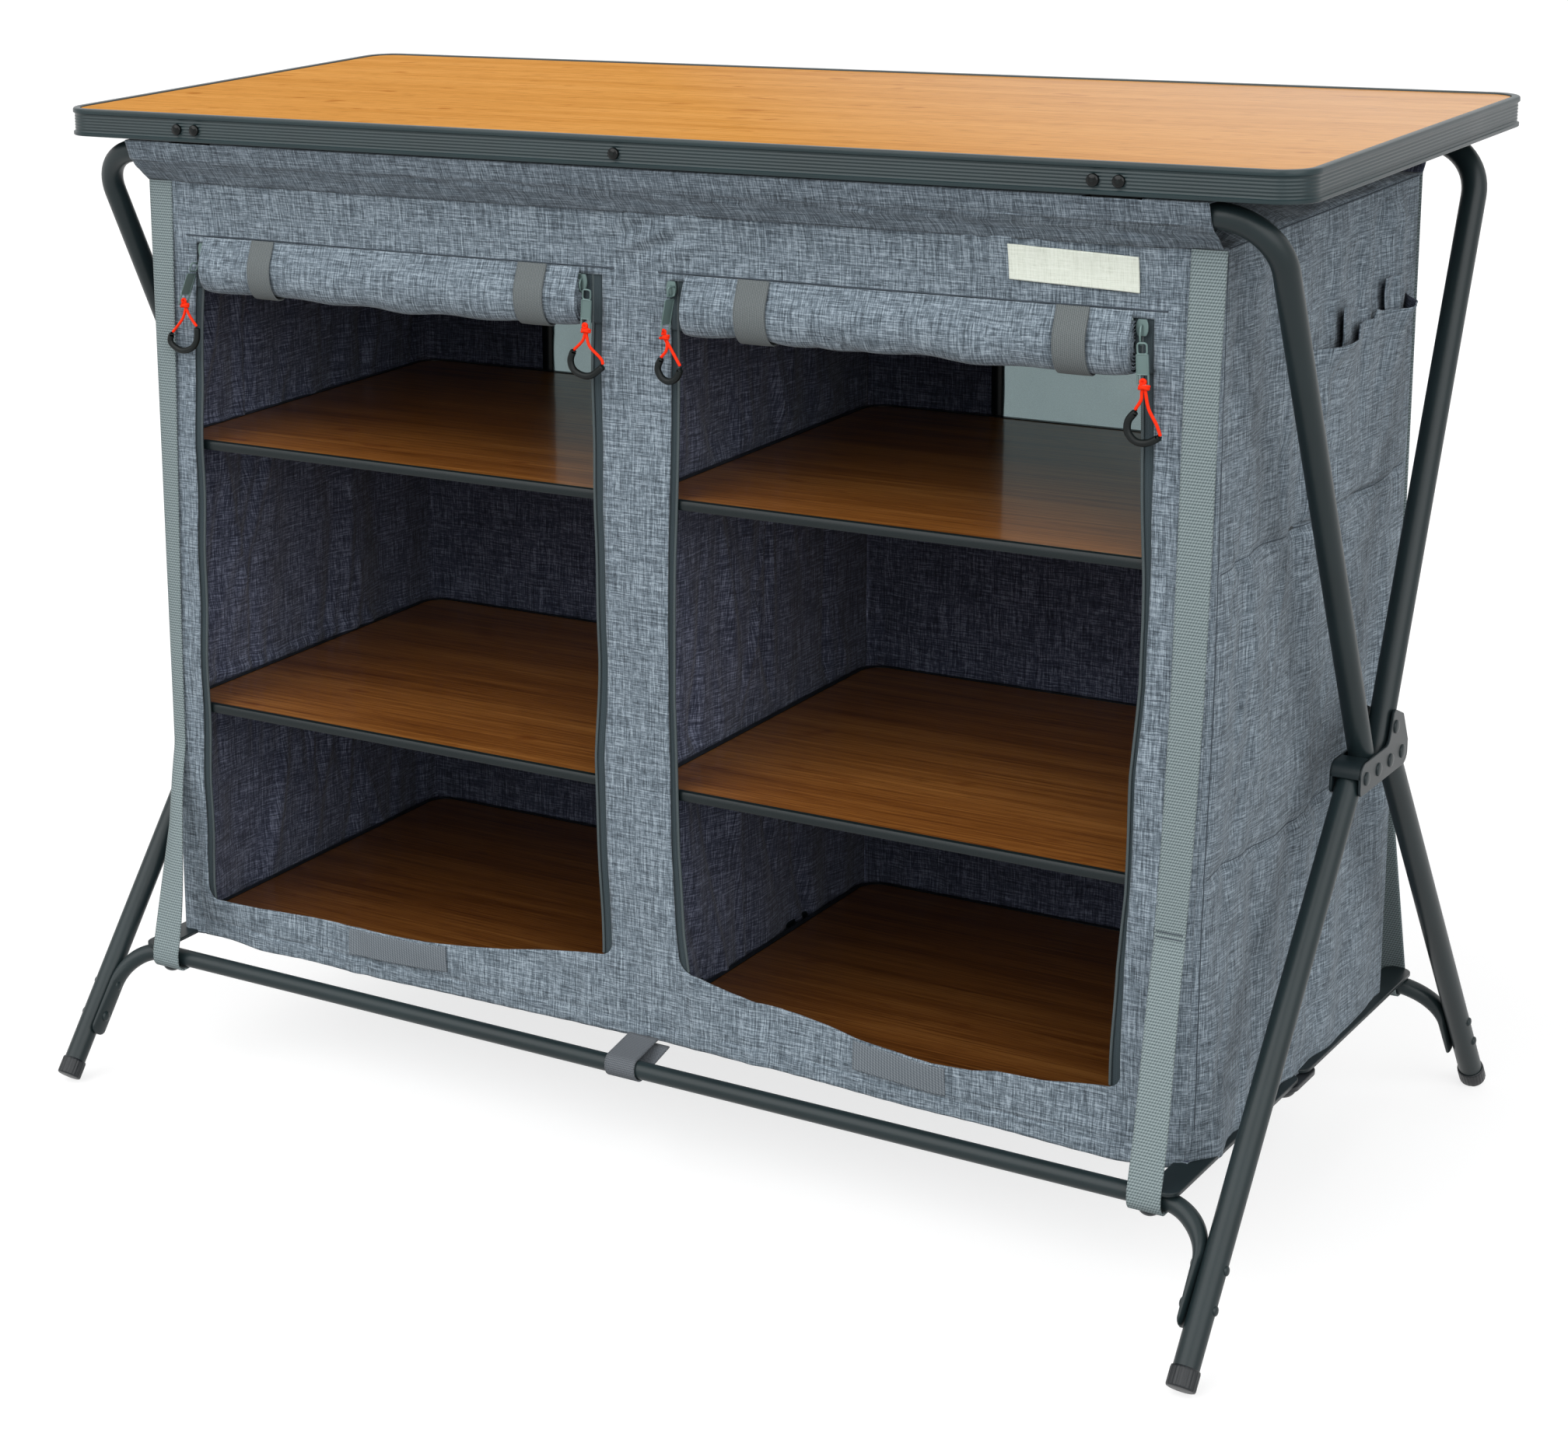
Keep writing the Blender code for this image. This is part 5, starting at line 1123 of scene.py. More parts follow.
def make_roof():
    """The roof, and the two flaps that run up from its edges and over the top bars. Each flap has a notch
    over each of the table's clips."""
    ends = np.linspace(0, 0.060, 22)
    columns = np.concatenate([-SIDE_X + ends, np.linspace(-0.385, 0.385, 76), SIDE_X - ends[::-1]])
    x, y = mesh_grid(columns, np.linspace(-FACE_Y, FACE_Y, 110))
    ahead = header_lean(x, ROOF_Z) * fade(-y - 0.15, 0.045)
    cloth = patch(stacked(x, y - ahead, ROOF_Z + roof_rise(x, y)), stacked(x, y), facing=(0, 0, 1))
    made = piece("roof_cloth", [cloth], "cloth", "cupboard", ["roof_panel"], wall=CLOTH,
                 shell=False, lining="lining")
    for place, side in PLACES.items():
        lean = HEADER_LEAN if side < 0 else 0.0
        run, past = sleeve_run(side, lean)
        columns = np.linspace(-SIDE_X, SIDE_X, 241)
        x, share = np.broadcast_arrays(columns, np.linspace(0, 1, len(run))[:, None])
        loose = np.exp(-((share - 0.22) / 0.16) ** 2)
        ripple = (0.0014 * unevenness(x, share * 0.3, 40 + side, 6, 30) - 0.001) * loose
        back = (lean - header_lean(x, ROOF_Z) * (side < 0)) * np.clip(1 - share * 4, 0, 1)
        points = stacked(x, run[:, :1] + side * (ripple - back), run[:, 1:] + 0.2 * ripple)
        beyond = np.arange(len(run) - 1)[:, None] >= (past - 1 if side < 0 else REAR_NOTCH_ROW)
        clip = np.abs(np.abs((columns[:-1] + columns[1:]) / 2) - CLIP_X) < CLIP_ROOM
        cloth = patch(points, keep=~(beyond & clip), facing=(0, side, 0))
        made = piece(place + "_valance", [cloth], "shaded_valance_cloth", None, (), wall=0.0010,
                     shell=False, lining="lining")
        if side < 0:
            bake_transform(made)
        else:
            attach(made, "cupboard")


def make_seams():
    """Seam threads half sunk in the cloth: along the top, the front corner and the two seams of each side,
    and where the doors are sewn to the header. Two rows of stitches cross the front right strap."""
    lines = []
    for hand in HANDS.values():
        y = np.linspace(-FACE_Y + 0.008, FACE_Y - 0.008, 60)
        lines.append((on_side(y, ROOF_Z - 0.0012, hand, -0.0001), 0.0006))
        z = np.linspace(ROOF_Z - 0.004, 0.135, 160)
        lines.append((on_side(-FACE_Y + 0.0075, z, hand, -0.0001), 0.0005))
        y = np.linspace(-FACE_Y + 0.012, FACE_Y - 0.012, 120)
        lines += [(on_side(y, seam, hand, -0.0001), 0.0005) for seam in side_seams(y)]
    for z in (0.2790, 0.2830):
        lines.append((stacked(np.linspace(0.4195, 0.4385, 12), -FACE_Y - 0.0030, z), 0.0004))
    for low, high in ((-0.4130, -0.0120), (0.0260, 0.4130)):
        lines.append((on_front(np.linspace(low, high, 200), DOOR_SEAM_Z, 0.0001), 0.0006))
    piece("seam_threads", [tube(line, radius, None, 8) for line, radius in lines], "thread", "cupboard")


# The rolls: core, half sizes along (y, z), turns of the cloth, both ends, and each tie's middle, half width
# and which of the two it is
ROLL_CORE = np.array((-0.1935, 0.6890))
ROLL_SIZE = np.array((0.0138, 0.0198))
ROLL_TURNS = 6.6
ROLL_ENDS = {"left": (-0.3935, -0.0390), "right": (0.0500, 0.3905)}
TIES = {"left": ((-0.3329, 0.0108, "outer"), (-0.0797, 0.0126, "inner")),
        "right": ((0.1073, 0.0126, "inner"), (0.3490, 0.0118, "outer"))}


def on_roll(turn, size):
    """(y, z) of a point round a roll: an oval about its core, turn measured from the front upward."""
    return ROLL_CORE + on_circle(turn) * (-1, 1) * ROLL_SIZE * np.asarray(size)[..., None]


def make_rolls():
    """Each door is its whole cloth wound up: an oval spiral that grows by the cloth's thickness each turn,
    carried along X, with a tail from its front up to the header's seam. It sags in its middle, is squeezed
    under its ties and is drawn in at its ends."""
    for word, (low, high) in ROLL_ENDS.items():
        turn = np.linspace(-ROLL_TURNS * 2 * pi, 0, int(ROLL_TURNS * 30)) + radians(30)
        grow = np.linspace(0, 1, len(turn))
        run = on_roll(turn, 0.13 + 0.87 * grow ** 0.9)
        tail = run[-1] + (np.array((-0.1978, 0.7145)) - run[-1]) * np.linspace(0, 1, 13)[1:, None]
        run = np.concatenate([run, tail])
        steps = np.array([0, 0.001, 0.003, 0.006])
        x = np.concatenate([low + steps, np.linspace(low + 0.012, high - 0.012, 150), high - steps[::-1]])
        x, share = np.broadcast_arrays(x[:, None], np.concatenate([grow, np.ones(12)]))
        under = fade(0.7100 - run[:, 1], 0.014)
        drawn = 0.08 * np.exp(-np.minimum(x - low, high - x) / 0.006) * share
        soft = 0.0016 * unevenness(x, share * 0.9, 60 + len(word), 4, 17) * np.clip(share * 1.4, 0, 1)
        squeeze = sum(0.0014 * pinch(x, tie[0], 0.018) for tie in TIES[word])
        size = 1 + ((soft - squeeze) / 0.0172 - drawn) * under
        y, z = (core + (run[:, axis] - core) * size for axis, core in enumerate(ROLL_CORE))
        z = z - 0.0010 * np.sin((x - low) / (high - low) * pi) * under
        wound = distances(run)
        made = piece("rolled_door_" + word, [patch(stacked(x, y, z), stacked(x, wound))], "cloth", "cupboard",
                     ["door_roll_" + word], wall=0.0007, shell=False, offset=0)
        for place, half, edge in TIES[word]:
            make_tie("%s_%s" % (word, edge), place, half)


def make_tie(name, place, half):
    """A tie: a flat band, half its width to each side of its place, from the seam down and round the roll."""
    hang = on_roll(np.linspace(radians(30), -pi, 46), 1.05)
    down = np.concatenate([np.linspace((-0.1990, DOOR_SEAM_Z), hang[0], 8)[:-1], hang,
                           [(-0.1800, 0.6990), (-0.1830, 0.7060)]])
    across = np.linspace(-half, half, 15)
    wander = 0.0012 * np.sin(np.linspace(0, 3, len(down)))[:, None]
    crown = 0.0004 * np.cos(across / half * pi / 2)
    points = stacked(place + across + wander, down[:, :1] - crown, down[:, 1:])
    piece("tie_" + name, [patch(points, facing=(0, -1, 0))], "elastic", "cupboard", ["roll_tie_" + name],
          wall=0.0010, shell=False, offset=1.0)


# Inner and outer edges of the front straps on the body, and their edges at the bar
STRAP_EDGES = {
    "left": np.array([(0.283, 0.4368), (0.386, 0.4354), (0.520, 0.4318), (0.650, 0.4279), (0.759, 0.4251)]),
    "right": np.array([(0.283, 0.4180), (0.340, 0.4207), (0.452, 0.4243), (0.560, 0.4258), (0.666, 0.4266),
                       (0.759, 0.4290)]),
}
STRAP_AT_BAR = {"left": (0.4179, 0.4443), "right": (0.4219, 0.4464)}


def on_strap(place, word, across, z):
    """(x, y) of a strap on the body, across metres from its inner edge, both given as distances from the
    middle: the front left strap bends round the cupboard's corner, the others lie flat on the face."""
    if place == "rear":
        return STRAP_X - STRAP_WIDTH / 2 + across + 0 * z, SKIN + 0 * (across + z)
    inner = np.interp(z, *STRAP_EDGES[word].T)
    if word == "right":
        width = np.interp(z, (STRAP_FREE_Z, 0.452, 0.759), (0.0222, 0.0232, 0.0245))
        return inner + across * width / STRAP_WIDTH, SKIN + 0 * (across + z)
    radius = CORNER + STRAP_OFF
    flat = SIDE_X + STRAP_OFF - radius - inner
    turn = np.clip((across - flat) / radius, 0, pi / 2)
    past = np.clip(across - flat - radius * pi / 2, 0, None)
    x = inner + np.minimum(across, flat) + radius * np.sin(turn)
    return x, SKIN - radius * (1 - np.cos(turn)) - past


def strap_run(side, bar):
    """(y, z) points of a strap's middle line: down the face, a soft bend, straight out to the base bar, down
    round its outer side and up its inner side."""
    lead = np.array((bar[0] + side * 0.0122, BAR_Z + 0.0060))
    outer = on_circle(np.linspace(radians(10), radians(-80), 10))
    inner = on_circle(np.linspace(radians(-100), radians(-190), 8))
    skin = side * SKIN
    bow = bent([(0, skin, 0.300), (0, skin, 0.277), (0, *lead)], 0.05, 8)[1:-1, 1:]
    return np.concatenate([np.linspace((skin, ROOF_Z - 0.001), (skin, bow[0, 1] + 0.004), 60), bow,
                           np.linspace(bow[-1], lead, 26)[1:],
                           bar + (side * 0.0030, 0) + 0.0092 * outer * (side, 1),
                           bar - (side * 0.0005, 0) + 0.0092 * inner * (side, 1)])


def make_straps():
    """Webbing down the faces, out to the base bars and round them: each row across the webbing goes from its
    place on the body to its place at the bar by a smooth share of the drop between them."""
    across = np.linspace(0, STRAP_WIDTH, 17)
    for place, side in PLACES.items():
        bar = np.array((leg_y(side, BAR_Z), BAR_Z))
        run = strap_run(side, bar)
        share = fade(STRAP_FREE_Z - run[:, 1:], STRAP_FREE_Z - 0.112)
        share[-18:] = 1.0
        share = eased(share)
        along = distances(run)[:, None]
        for word, hand in HANDS.items():
            x, y = on_strap(place, word, across, np.maximum(run[:, 1:], STRAP_FREE_Z))
            inner, outer = STRAP_AT_BAR[word] if place == "front" else (0.4245, 0.4495)
            x = x * (1 - share) + (inner + (outer - inner) * across / STRAP_WIDTH) * share
            y = run[:, :1] + side * (y - SKIN) * (1 - share)
            cloth = patch(stacked(hand * x, y, run[:, 1:]), stacked(across, along), facing=(0, side, 0))
            name = "%s_%%s_%s" % (place, word)
            made = piece(name % "webbing", [cloth], "webbing", None, [name % "strap"], wall=0.0013,
                         shell=False, offset=0)
            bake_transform(made)


def make_middle_loop():
    """The loop under the front: a band from the hem round the front base bar and back, which leans sideways
    from its first point to its last."""
    bar = np.array((leg_y(-1, BAR_Z), BAR_Z))
    wrap = bar + 0.0084 * on_circle(np.linspace(radians(110), radians(330), 20))
    run = np.concatenate([np.linspace((-0.1935, 0.1120), wrap[0], 12)[:-1], wrap,
                          np.linspace(wrap[-1], (-0.1940, 0.1080), 8)[1:]])
    across, along = np.linspace(0, 0.0260, 11), distances(run)[:, None]
    points = stacked(-0.0055 + across + 0.010 * along / along[-1], run[:, :1], run[:, 1:])
    made = piece("middle_loop", [patch(points, stacked(across, along))], "loop_webbing", None, (),
                 wall=0.0013, shell=False, offset=0)
    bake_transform(made)


# Zips

def make_zips():
    """A tape down each door edge with its row of teeth: a bar whose radius swells once for each tooth."""
    for (name, line), way in zip(EDGES.items(), (1, -1, 1, -1)):
        lip = LIP_LEFT if name.startswith("left") else LIP_RIGHT
        low = float(np.interp(line[0, 1], *lip.T)) - 0.004
        z = np.linspace(DOOR_TOP + 0.003, low, 140)[:, None]
        edge, width = np.interp(z, *line.T), np.interp(z, *TAPES[name].T)
        share = np.array([-1.0, -0.4, 0.0, 0.3, 0.65, 1.0])
        across = np.where(share > 0, share * width, share * 0.006)
        points = on_front(edge + way * across, z, -0.0024)
        tape = patch(points, stacked(across, points[..., 2]), facing=(0, -1, 0))
        piece("tape_" + name, [tape], "zip_tape", "cupboard", wall=0.0008, shell=False)
        count = int((DOOR_TOP + 0.003 - low) / TOOTH)
        height = np.linspace(DOOR_TOP + 0.003, low + 0.004, count * 2 + 1)
        swell = np.where(np.arange(len(height)) % 2 == 0, 0.0010, 0.00135)
        spot = np.interp(height, *line.T) + way * np.interp(height, *TAPES[name].T)
        teeth = tube(on_front(spot, height, -0.0018), np.column_stack([swell, swell * 0.9]), (0, 1, 0), 8)
        piece("teeth_" + name, [teeth], "zip_teeth", "cupboard", sharp=80)


def make_door_tapes():
    """Beside each roll's end the door's own tape hangs from the header: from the zip to a line that swings
    toward the zip as it goes down."""
    tapes = []
    for name, end in (("left_outer", -0.3910), ("left_inner", -0.0415), ("right_inner", 0.0525),
                      ("right_outer", 0.3880)):
        share = np.linspace(0, 1, 24)[:, None]
        z = DOOR_TOP + 0.0030 - 0.0400 * share
        edge = np.interp(z, *EDGES[name].T)
        inner = end + (edge - end) * (0.10 * np.sin(share * pi) + 0.45 * share ** 4)
        x = inner + (edge - inner) * np.linspace(0, 1, 8)
        tapes.append(patch(on_front(x, z, -0.0012), stacked(x, z), facing=(0, -1, 0)))
    piece("door_tapes", tapes, "zip_tape", "cupboard", wall=0.0008, shell=False)


# Each zip's pull, as (x, z): both ends of its tab, the knot, the cord's two legs and the grip's curve
PULLS = {
    "left_outer": {"tab": ((-0.3985, 0.6935), (-0.4122, 0.6614)), "edge_on": True, "knot": (-0.4110, 0.6585),
                   "legs": (((-0.4109, 0.6551), (-0.4146, 0.6465), (-0.4250, 0.6353)),
                            ((-0.4079, 0.6521), (-0.4034, 0.6461), (-0.3996, 0.6419))),
                   "grip": ((-0.4262, 0.6345), (-0.4279, 0.6274), (-0.4224, 0.6226), (-0.4144, 0.6208),
                            (-0.4053, 0.6240), (-0.4005, 0.6309), (-0.3997, 0.6410))},
    "left_inner": {"tab": ((-0.0291, 0.6985), (-0.0304, 0.6719)), "edge_on": False, "knot": (-0.0304, 0.6684),
                   "legs": (((-0.0318, 0.6648), (-0.0339, 0.6599), (-0.0415, 0.6528)),
                            ((-0.0298, 0.6638), (-0.0272, 0.6564), (-0.0179, 0.6483), (-0.0160, 0.6438))),
                   "grip": ((-0.0415, 0.6530), (-0.0443, 0.6449), (-0.0417, 0.6378), (-0.0336, 0.6342),
                            (-0.0255, 0.6353), (-0.0160, 0.6425))},
    "right_inner": {"tab": ((0.0432, 0.7060), (0.0368, 0.6721)), "edge_on": True, "knot": (0.0365, 0.6690),
                    "legs": (((0.0385, 0.6647), (0.0378, 0.6589), (0.0332, 0.6533)),
                             ((0.0392, 0.6648), (0.0443, 0.6566), (0.0495, 0.6484))),
                    "grip": ((0.0334, 0.6530), (0.0305, 0.6455), (0.0331, 0.6391), (0.0390, 0.6362),
                             (0.0455, 0.6387), (0.0497, 0.6462))},
    "right_outer": {"tab": ((0.3999, 0.6940), (0.4014, 0.6686)), "edge_on": False, "knot": (0.4021, 0.6650),
                    "legs": (((0.4006, 0.6617), (0.4002, 0.6564), (0.3961, 0.6491)),
                             ((0.4033, 0.6609), (0.4057, 0.6506), (0.4114, 0.6405), (0.4144, 0.6329))),
                    "grip": ((0.3966, 0.6482), (0.3916, 0.6412), (0.3916, 0.6333), (0.3972, 0.6278),
                             (0.4054, 0.6276), (0.4140, 0.6322))},
}


def smooth_run(points, count):
    """A curve through points: each stretch is the cubic of its four nearest points (Catmull-Rom)."""
    points = np.asarray(points, float)
    padded = np.concatenate([2 * points[:1] - points[1:2], points, 2 * points[-1:] - points[-2:-1]])
    place = np.linspace(0, len(points) - 1 - 1e-9, count)
    k, t = place.astype(int), (place % 1)[:, None]
    a, b, c, d = padded[k], padded[k + 1], padded[k + 2], padded[k + 3]
    square, cube = 2 * a - 5 * b + 4 * c - d, 3 * b - a - 3 * c + d
    return 0.5 * (2 * b + (c - a) * t + square * t ** 2 + cube * t ** 3)


def make_slider(name, eye_z):
    """A zip's slider: an oval plate, drawn in at its two faces, and the bridge that reaches into the tab's
    eye."""
    low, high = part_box("zip_slider_" + name)
    centre = (low.x + high.x) / 2
    share = np.linspace(0, 1, 9)
    half = 0.0043 * np.sqrt(1 - (0.75 * (2 * share - 1)) ** 2)
    z = 0.7092 - 0.0112 * share
    z = np.concatenate([z, z[::-1], z[:1]])
    rows = []
    for depth, inset in ((0.0, 0.0008), (0.0006, 0.0), (0.0017, 0.0), (0.0022, 0.0010)):
        left, right = centre - half + inset, centre + half - inset
        rows.append(stacked(np.concatenate([left, right[::-1], left[:1]]), -FACE_Y - 0.0004 - depth, z))
    arch = np.linspace(0, pi, 13)
    foot, crown = min(eye_z - 0.0022, 0.6975), 0.7058
    bridge = stacked(centre, -FACE_Y - 0.0020 - 0.0034 * np.sin(arch),
                     (crown + foot) / 2 + (crown - foot) / 2 * np.cos(arch))
    parts = [patch(np.array(rows), shut=True), tube(bridge, 0.0008, (1, 0, 0), 10)]
    piece("slider_" + name, parts, "zinc", "zip_slider_" + name, ["zip_slider_" + name], bevel=0.0003)


def make_tab(name, top, low, edge_on):
    """A pull's tab: a plate with a raised border, between an eye and a fork. An edge-on tab is turned until
    its width lies mostly along Y."""
    top = np.array(top)
    length = float(np.hypot(*(low - top)))
    along = unit(low - top)
    side = np.array((along[1], -along[0])) * (0.35 if edge_on else 1.0)
    out = 0.94 if edge_on else 0.0
    width = 0.0044

    def on_tab(u, v, w):
        """Point of the tab: v down its length, u across it and w through its thickness."""
        flat = top + np.multiply.outer(v, along) + np.multiply.outer(u, side)
        return stacked(flat[..., 0], PULL_Y - out * np.asarray(u) - w - 0.0006, flat[..., 1])

    def wire(u, v, w, radius, shut):
        """A thin round wire on the tab; shut makes it go all the way round."""
        run = on_tab(u, v, w)
        return tube(np.concatenate([run, run[:2]]) if shut else run, radius, None, 8)

    outline = rounded_rectangle(2 * width, length * 0.54, 0.0009, (0, length * 0.53), 4)
    eye = rounded_rectangle(1.5 * width, 0.0075, 0.0018, (0, 0.0030), 5)[:-1]
    leg = width - 0.0006
    inner, outer = length * 0.78, length + 0.0020
    fork = np.array([(-leg, inner), (-leg, outer), (leg, outer), (leg, inner)])
    plate = patch(np.stack([on_tab(*outline.T, w) for w in (-0.0005, 0.0005)]), shut=True)
    parts = [plate, wire(outline[:-1, 0] * 0.90, outline[:-1, 1], 0.0005, 0.00045, True),
             wire(*eye.T, 0.0, 0.0007, True), wire(*fork.T, 0.0, 0.0008, False)]
    piece("tab_" + name, parts, "zinc", "zip_pull_" + name, ["zip_pull_" + name], bevel=0.0002)


def make_cord(name, knot, legs):
    """A pull's cord: two legs from the knot to the grip's ends, the knot's two turns and its ear."""
    x, z = knot
    y = PULL_Y - 0.0004
    cords = []
    for way, leg in zip((-0.5, 0.5), legs):
        run = smooth_run([(x + way * 0.0010, z + 0.0040), (x + way * 0.0012, z), *leg], 30)
        cords.append(tube(stacked(run[:, 0], PULL_Y - 0.0002, run[:, 1]), 0.00115, None, 10, rounded=0.0006))
    spin = np.linspace(0, 2 * pi, 25)
    for tilt, size in ((0.35, 0.0027), (-0.30, 0.0024)):
        turn = stacked(x + size * np.cos(spin) * 1.15, y - 0.0016 * np.sin(spin) * 1.2,
                       z + tilt * size * np.cos(spin) + 0.0003 * np.sin(spin))
        cords.append(tube(turn, 0.00125, None, 10))
    ear = stacked(x - 0.0008 + 0.0017 * np.cos(spin), y, z + 0.0036 + 0.0016 * np.sin(spin))
    cords.append(tube(ear, 0.00105, None, 10))
    piece("cord_" + name, cords, "cord", "zip_pull_" + name, ())


def make_pulls():
    """Slider, tab, knotted cord and curved grip of each zip."""
    for name, pull in PULLS.items():
        top, low = pull["tab"]
        make_slider(name, top[1])
        make_tab(name, top, low, pull["edge_on"])
        make_cord(name, pull["knot"], pull["legs"])
        run = smooth_run(pull["grip"], 44)
        grip = tube(stacked(run[:, 0], PULL_Y, run[:, 1]), 0.00255, None, 18, rounded=0.0012)
        piece("grip_" + name, [grip], "grip", "zip_pull_" + name, ())


def make_trims():
    """The bare label and the touch-tape patches, thin cloths on the front."""
    x, z = mesh_grid(np.linspace(*LABEL_X, 80), np.linspace(*LABEL_Z, 26))
    z = z - 0.042 * (x - LABEL_X[0])
    label = patch(on_front(x, z, 0.0019), stacked(x, z), facing=(0, -1, 0))
    piece("sewn_label", [label], "label", "cupboard", ["bare_label"], wall=0.0012, shell=False)
    patches = []
    for left, right, lip in ((-0.2715, -0.1735, LIP_LEFT), (0.1880, 0.2630, LIP_RIGHT)):
        x, drop = mesh_grid(np.linspace(left, right, 80), np.linspace(-0.0235, -0.0015, 26))
        z = np.interp(x, lip[:, 0], lip[:, 1]) + drop
        patches.append(patch(on_front(x, z, 0.0015), stacked(x, z), facing=(0, -1, 0)))
    piece("touch_tapes", patches, "touch_tape", "cupboard", (), wall=0.0010, shell=False)


# A side pocket's lower edge, its mouth, as (y, z), and its two standing folds: the height they start from,
# and for each its first and last y and its top's height there
POCKET_Z = 0.541
MOUTH = np.array([(-0.030, 0.664), (-0.002, 0.6625), (0.019, 0.6635), (0.050, 0.6615), (0.054, 0.669),
                  (0.080, 0.669), (0.085, 0.675), (0.097, 0.672), (0.124, 0.670), (0.151, 0.672),
                  (0.172, 0.673)])
FOLD_Z = 0.645
MOUTH_FOLDS = ((0.017, 0.084, 0.6875, 0.676), (0.109, 0.139, 0.6935, 0.6925))


def make_pockets():
    """A flat pocket on each side: a cloth whose mouth gapes in two places and steps up between them, and the
    two folds that stand up behind its mouth."""
    front, rear = MOUTH[0, 0], MOUTH[-1, 0]
    for word, hand in HANDS.items():
        y, v = mesh_grid(np.linspace(front, rear, 120), np.linspace(0, 1, 50))
        gape = pinch(y, 0.018, 0.034) + pinch(y, 0.126, 0.026)
        z = POCKET_Z + (np.interp(y, *MOUTH.T) - POCKET_Z) * v
        stand = 0.0012 + (0.0030 + 0.0105 * gape) * v ** 4 + 0.0008 * unevenness(y, z, 55, 8, 24) * v
        stand = stand * fade(np.minimum(y - front, rear - y), 0.02)
        cloths = [patch(on_side(y, z, hand, 0.0004 + stand), stacked(y, z), facing=(hand, 0, 0))]
        for start, end, start_top, end_top in MOUTH_FOLDS:
            u, v = mesh_grid(np.linspace(0, 1, 20), np.linspace(0, 1, 16))
            y = start + (end - start) * u
            z = FOLD_Z + (start_top + (end_top - start_top) * u - FOLD_Z) * v
            stand = 0.0016 + 0.0045 * (1 - u) ** 2 + 0.0008 * np.sin(u * 9)
            cloths.append(patch(on_side(y, z, hand, stand), stacked(y, z), facing=(hand, 0, 0)))
        made = piece("pocket_" + word, cloths, "cloth", "cupboard", (), wall=0.0010,
                     shell=False, offset=0, lining="lining")


# Look of the solids that stay

def dress_solids():
    """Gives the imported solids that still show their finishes."""
    looks = {"worktop_board": "worktop"}
    for word in HANDS:
        for level in LEVELS:
            # The floor boards take the darker laminate, which paints their shade
            looks["%s_board_%s" % (level, word)] = "shaded_floor_board" if level == "floor" else "board"
        for place in PLACES:
            looks["%s_clip_%s" % (place, word)] = "plastic"
    for name, look in looks.items():
        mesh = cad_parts[name].data
        mesh.materials.clear()
        mesh.materials.append(FINISHES[look])


# Studio

# Light that the white world throws, beside the full strength that it shows
WORLD_LIGHT = 0.40


def seen_rays(tree):
    """One for a ray that the camera sends, straight, by way of a gloss or through a pane; zero for others."""
    path = node(tree, "LightPath")
    seen = sums(tree, "MAXIMUM", path.outputs["Is Camera Ray"], path.outputs["Is Glossy Ray"])
    return sums(tree, "MAXIMUM", seen, path.outputs["Is Transmission Ray"])


def make_floor():
    """A wide floor that looks white and keeps a faint shadow: it glows a little to the camera, and throws
    less light back at the object than it shows."""
    bpy.ops.mesh.primitive_plane_add(size=30.0, location=(0, 0, -0.0004))
    floor = bpy.context.object
    floor.name = "studio_floor"
    made, tree, shader = finish("studio_white", 0.9, Specular_IOR_Level=0.0)
    seen = seen_rays(tree)
    join(tree, mixed(tree, seen, (0.40, 0.40, 0.40, 1), (0.36, 0.36, 0.36, 1)), shader, "Base Color")
    shader.inputs["Emission Color"].default_value = (1, 1, 1, 1)
    join(tree, sums(tree, "MULTIPLY", seen, 0.74), shader, "Emission Strength")
    floor.data.materials.append(made)


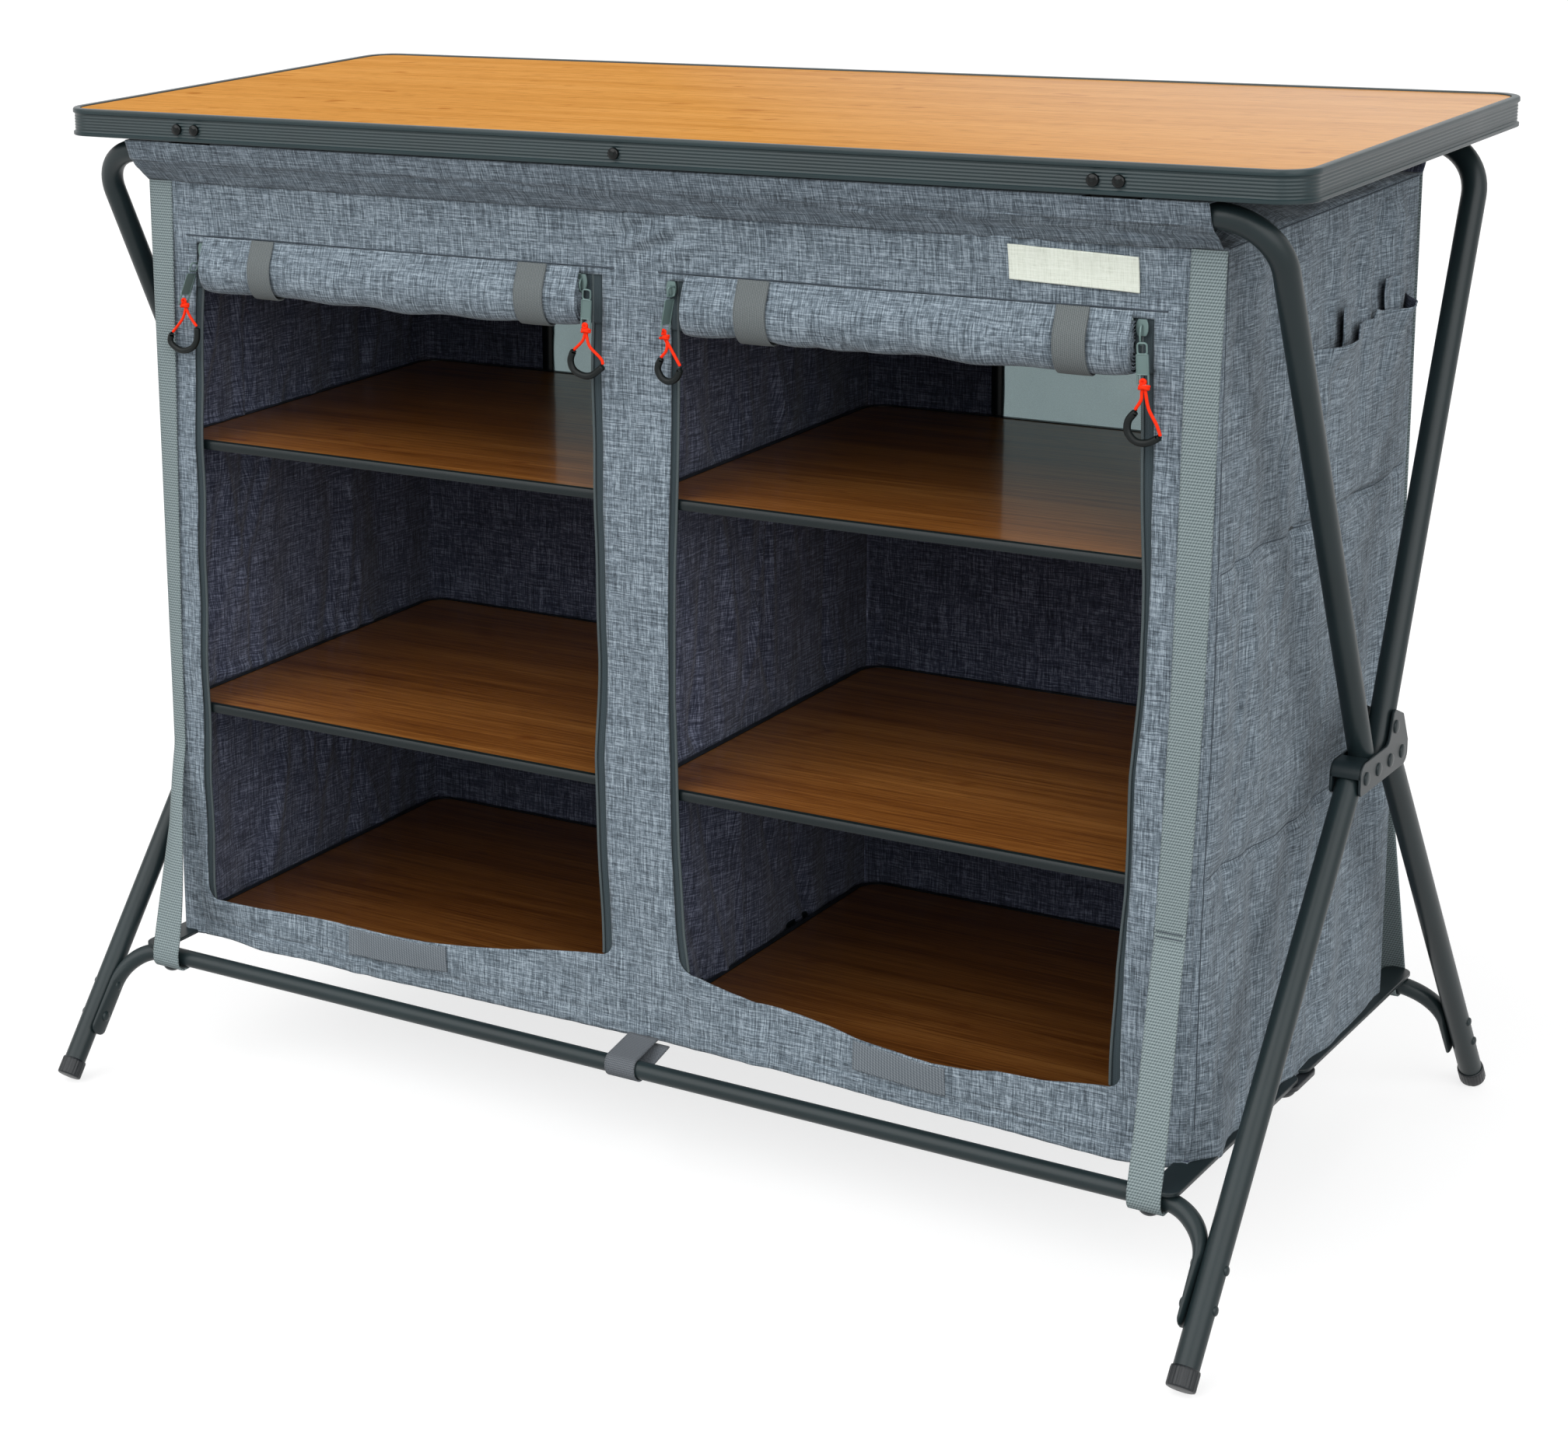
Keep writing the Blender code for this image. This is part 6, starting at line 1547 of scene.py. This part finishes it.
def make_lights():
    """A white world, which shows at full strength and lights at less, and three wide suns; the tuples are
    where each sun's light comes from."""
    world = bpy.data.worlds.new("studio")
    bpy.context.scene.world = world
    world.use_nodes = True
    tree = world.node_tree
    level = sums(tree, "MULTIPLY_ADD", seen_rays(tree), 1.0 - WORLD_LIGHT, WORLD_LIGHT)
    tree.links.new(level, tree.nodes["Background"].inputs["Strength"])
    tree.nodes["Background"].inputs["Color"].default_value = (1, 1, 1, 1)
    for name, come_from, power in (("key", (0.80, -0.55, 0.50), 1.7), ("fill", (-0.35, -0.80, 0.72), 2.0),
                                   ("top", (0.10, 0.20, 1.00), 0.2)):
        lamp = bpy.data.lights.new(name, "SUN")
        lamp.angle, lamp.energy = radians(60), power
        item = bpy.data.objects.new(name, lamp)
        item.rotation_euler = (-Vector(come_from)).to_track_quat("-Z", "Y").to_euler()
        bpy.context.scene.collection.objects.link(item)


def make_camera():
    """The camera at the photograph's place: its position, its heading, how far it looks down and its roll,
    its focal length as a share of the sensor's width, and its shift."""
    camera = bpy.data.cameras.new("view")
    camera.sensor_width, camera.lens = 36.0, 36.0 * 2.078967
    camera.shift_x, camera.shift_y = 0.33684, -0.11443
    camera.clip_start, camera.clip_end = 0.05, 60.0
    item = bpy.data.objects.new("view", camera)
    heading, down, roll = radians(37.7376), radians(13.9501), radians(-2.1927)
    ahead = Vector((-sin(heading) * cos(down), cos(heading) * cos(down), -sin(down)))
    right = Vector((cos(heading), sin(heading), 0))
    up = right.cross(ahead)
    across, over = cos(roll) * right + sin(roll) * up, cos(roll) * up - sin(roll) * right
    turned_to = Matrix((across, over, -ahead)).transposed().to_4x4()
    item.matrix_world = Matrix.Translation((1.22934, -2.24174, 1.11195)) @ turned_to
    bpy.context.scene.collection.objects.link(item)
    bpy.context.scene.camera = item
    bpy.context.scene.view_settings.view_transform = "Standard"


make_top_frames()
make_legs()
make_brackets()
make_rails()
make_rim()
make_bindings()
make_front()
make_sides()
make_inner_cloths()
make_back()
make_roof()
make_seams()
make_rolls()
make_straps()
make_middle_loop()
make_zips()
make_door_tapes()
make_pulls()
make_trims()
make_pockets()
dress_solids()
make_floor()
make_lights()
make_camera()
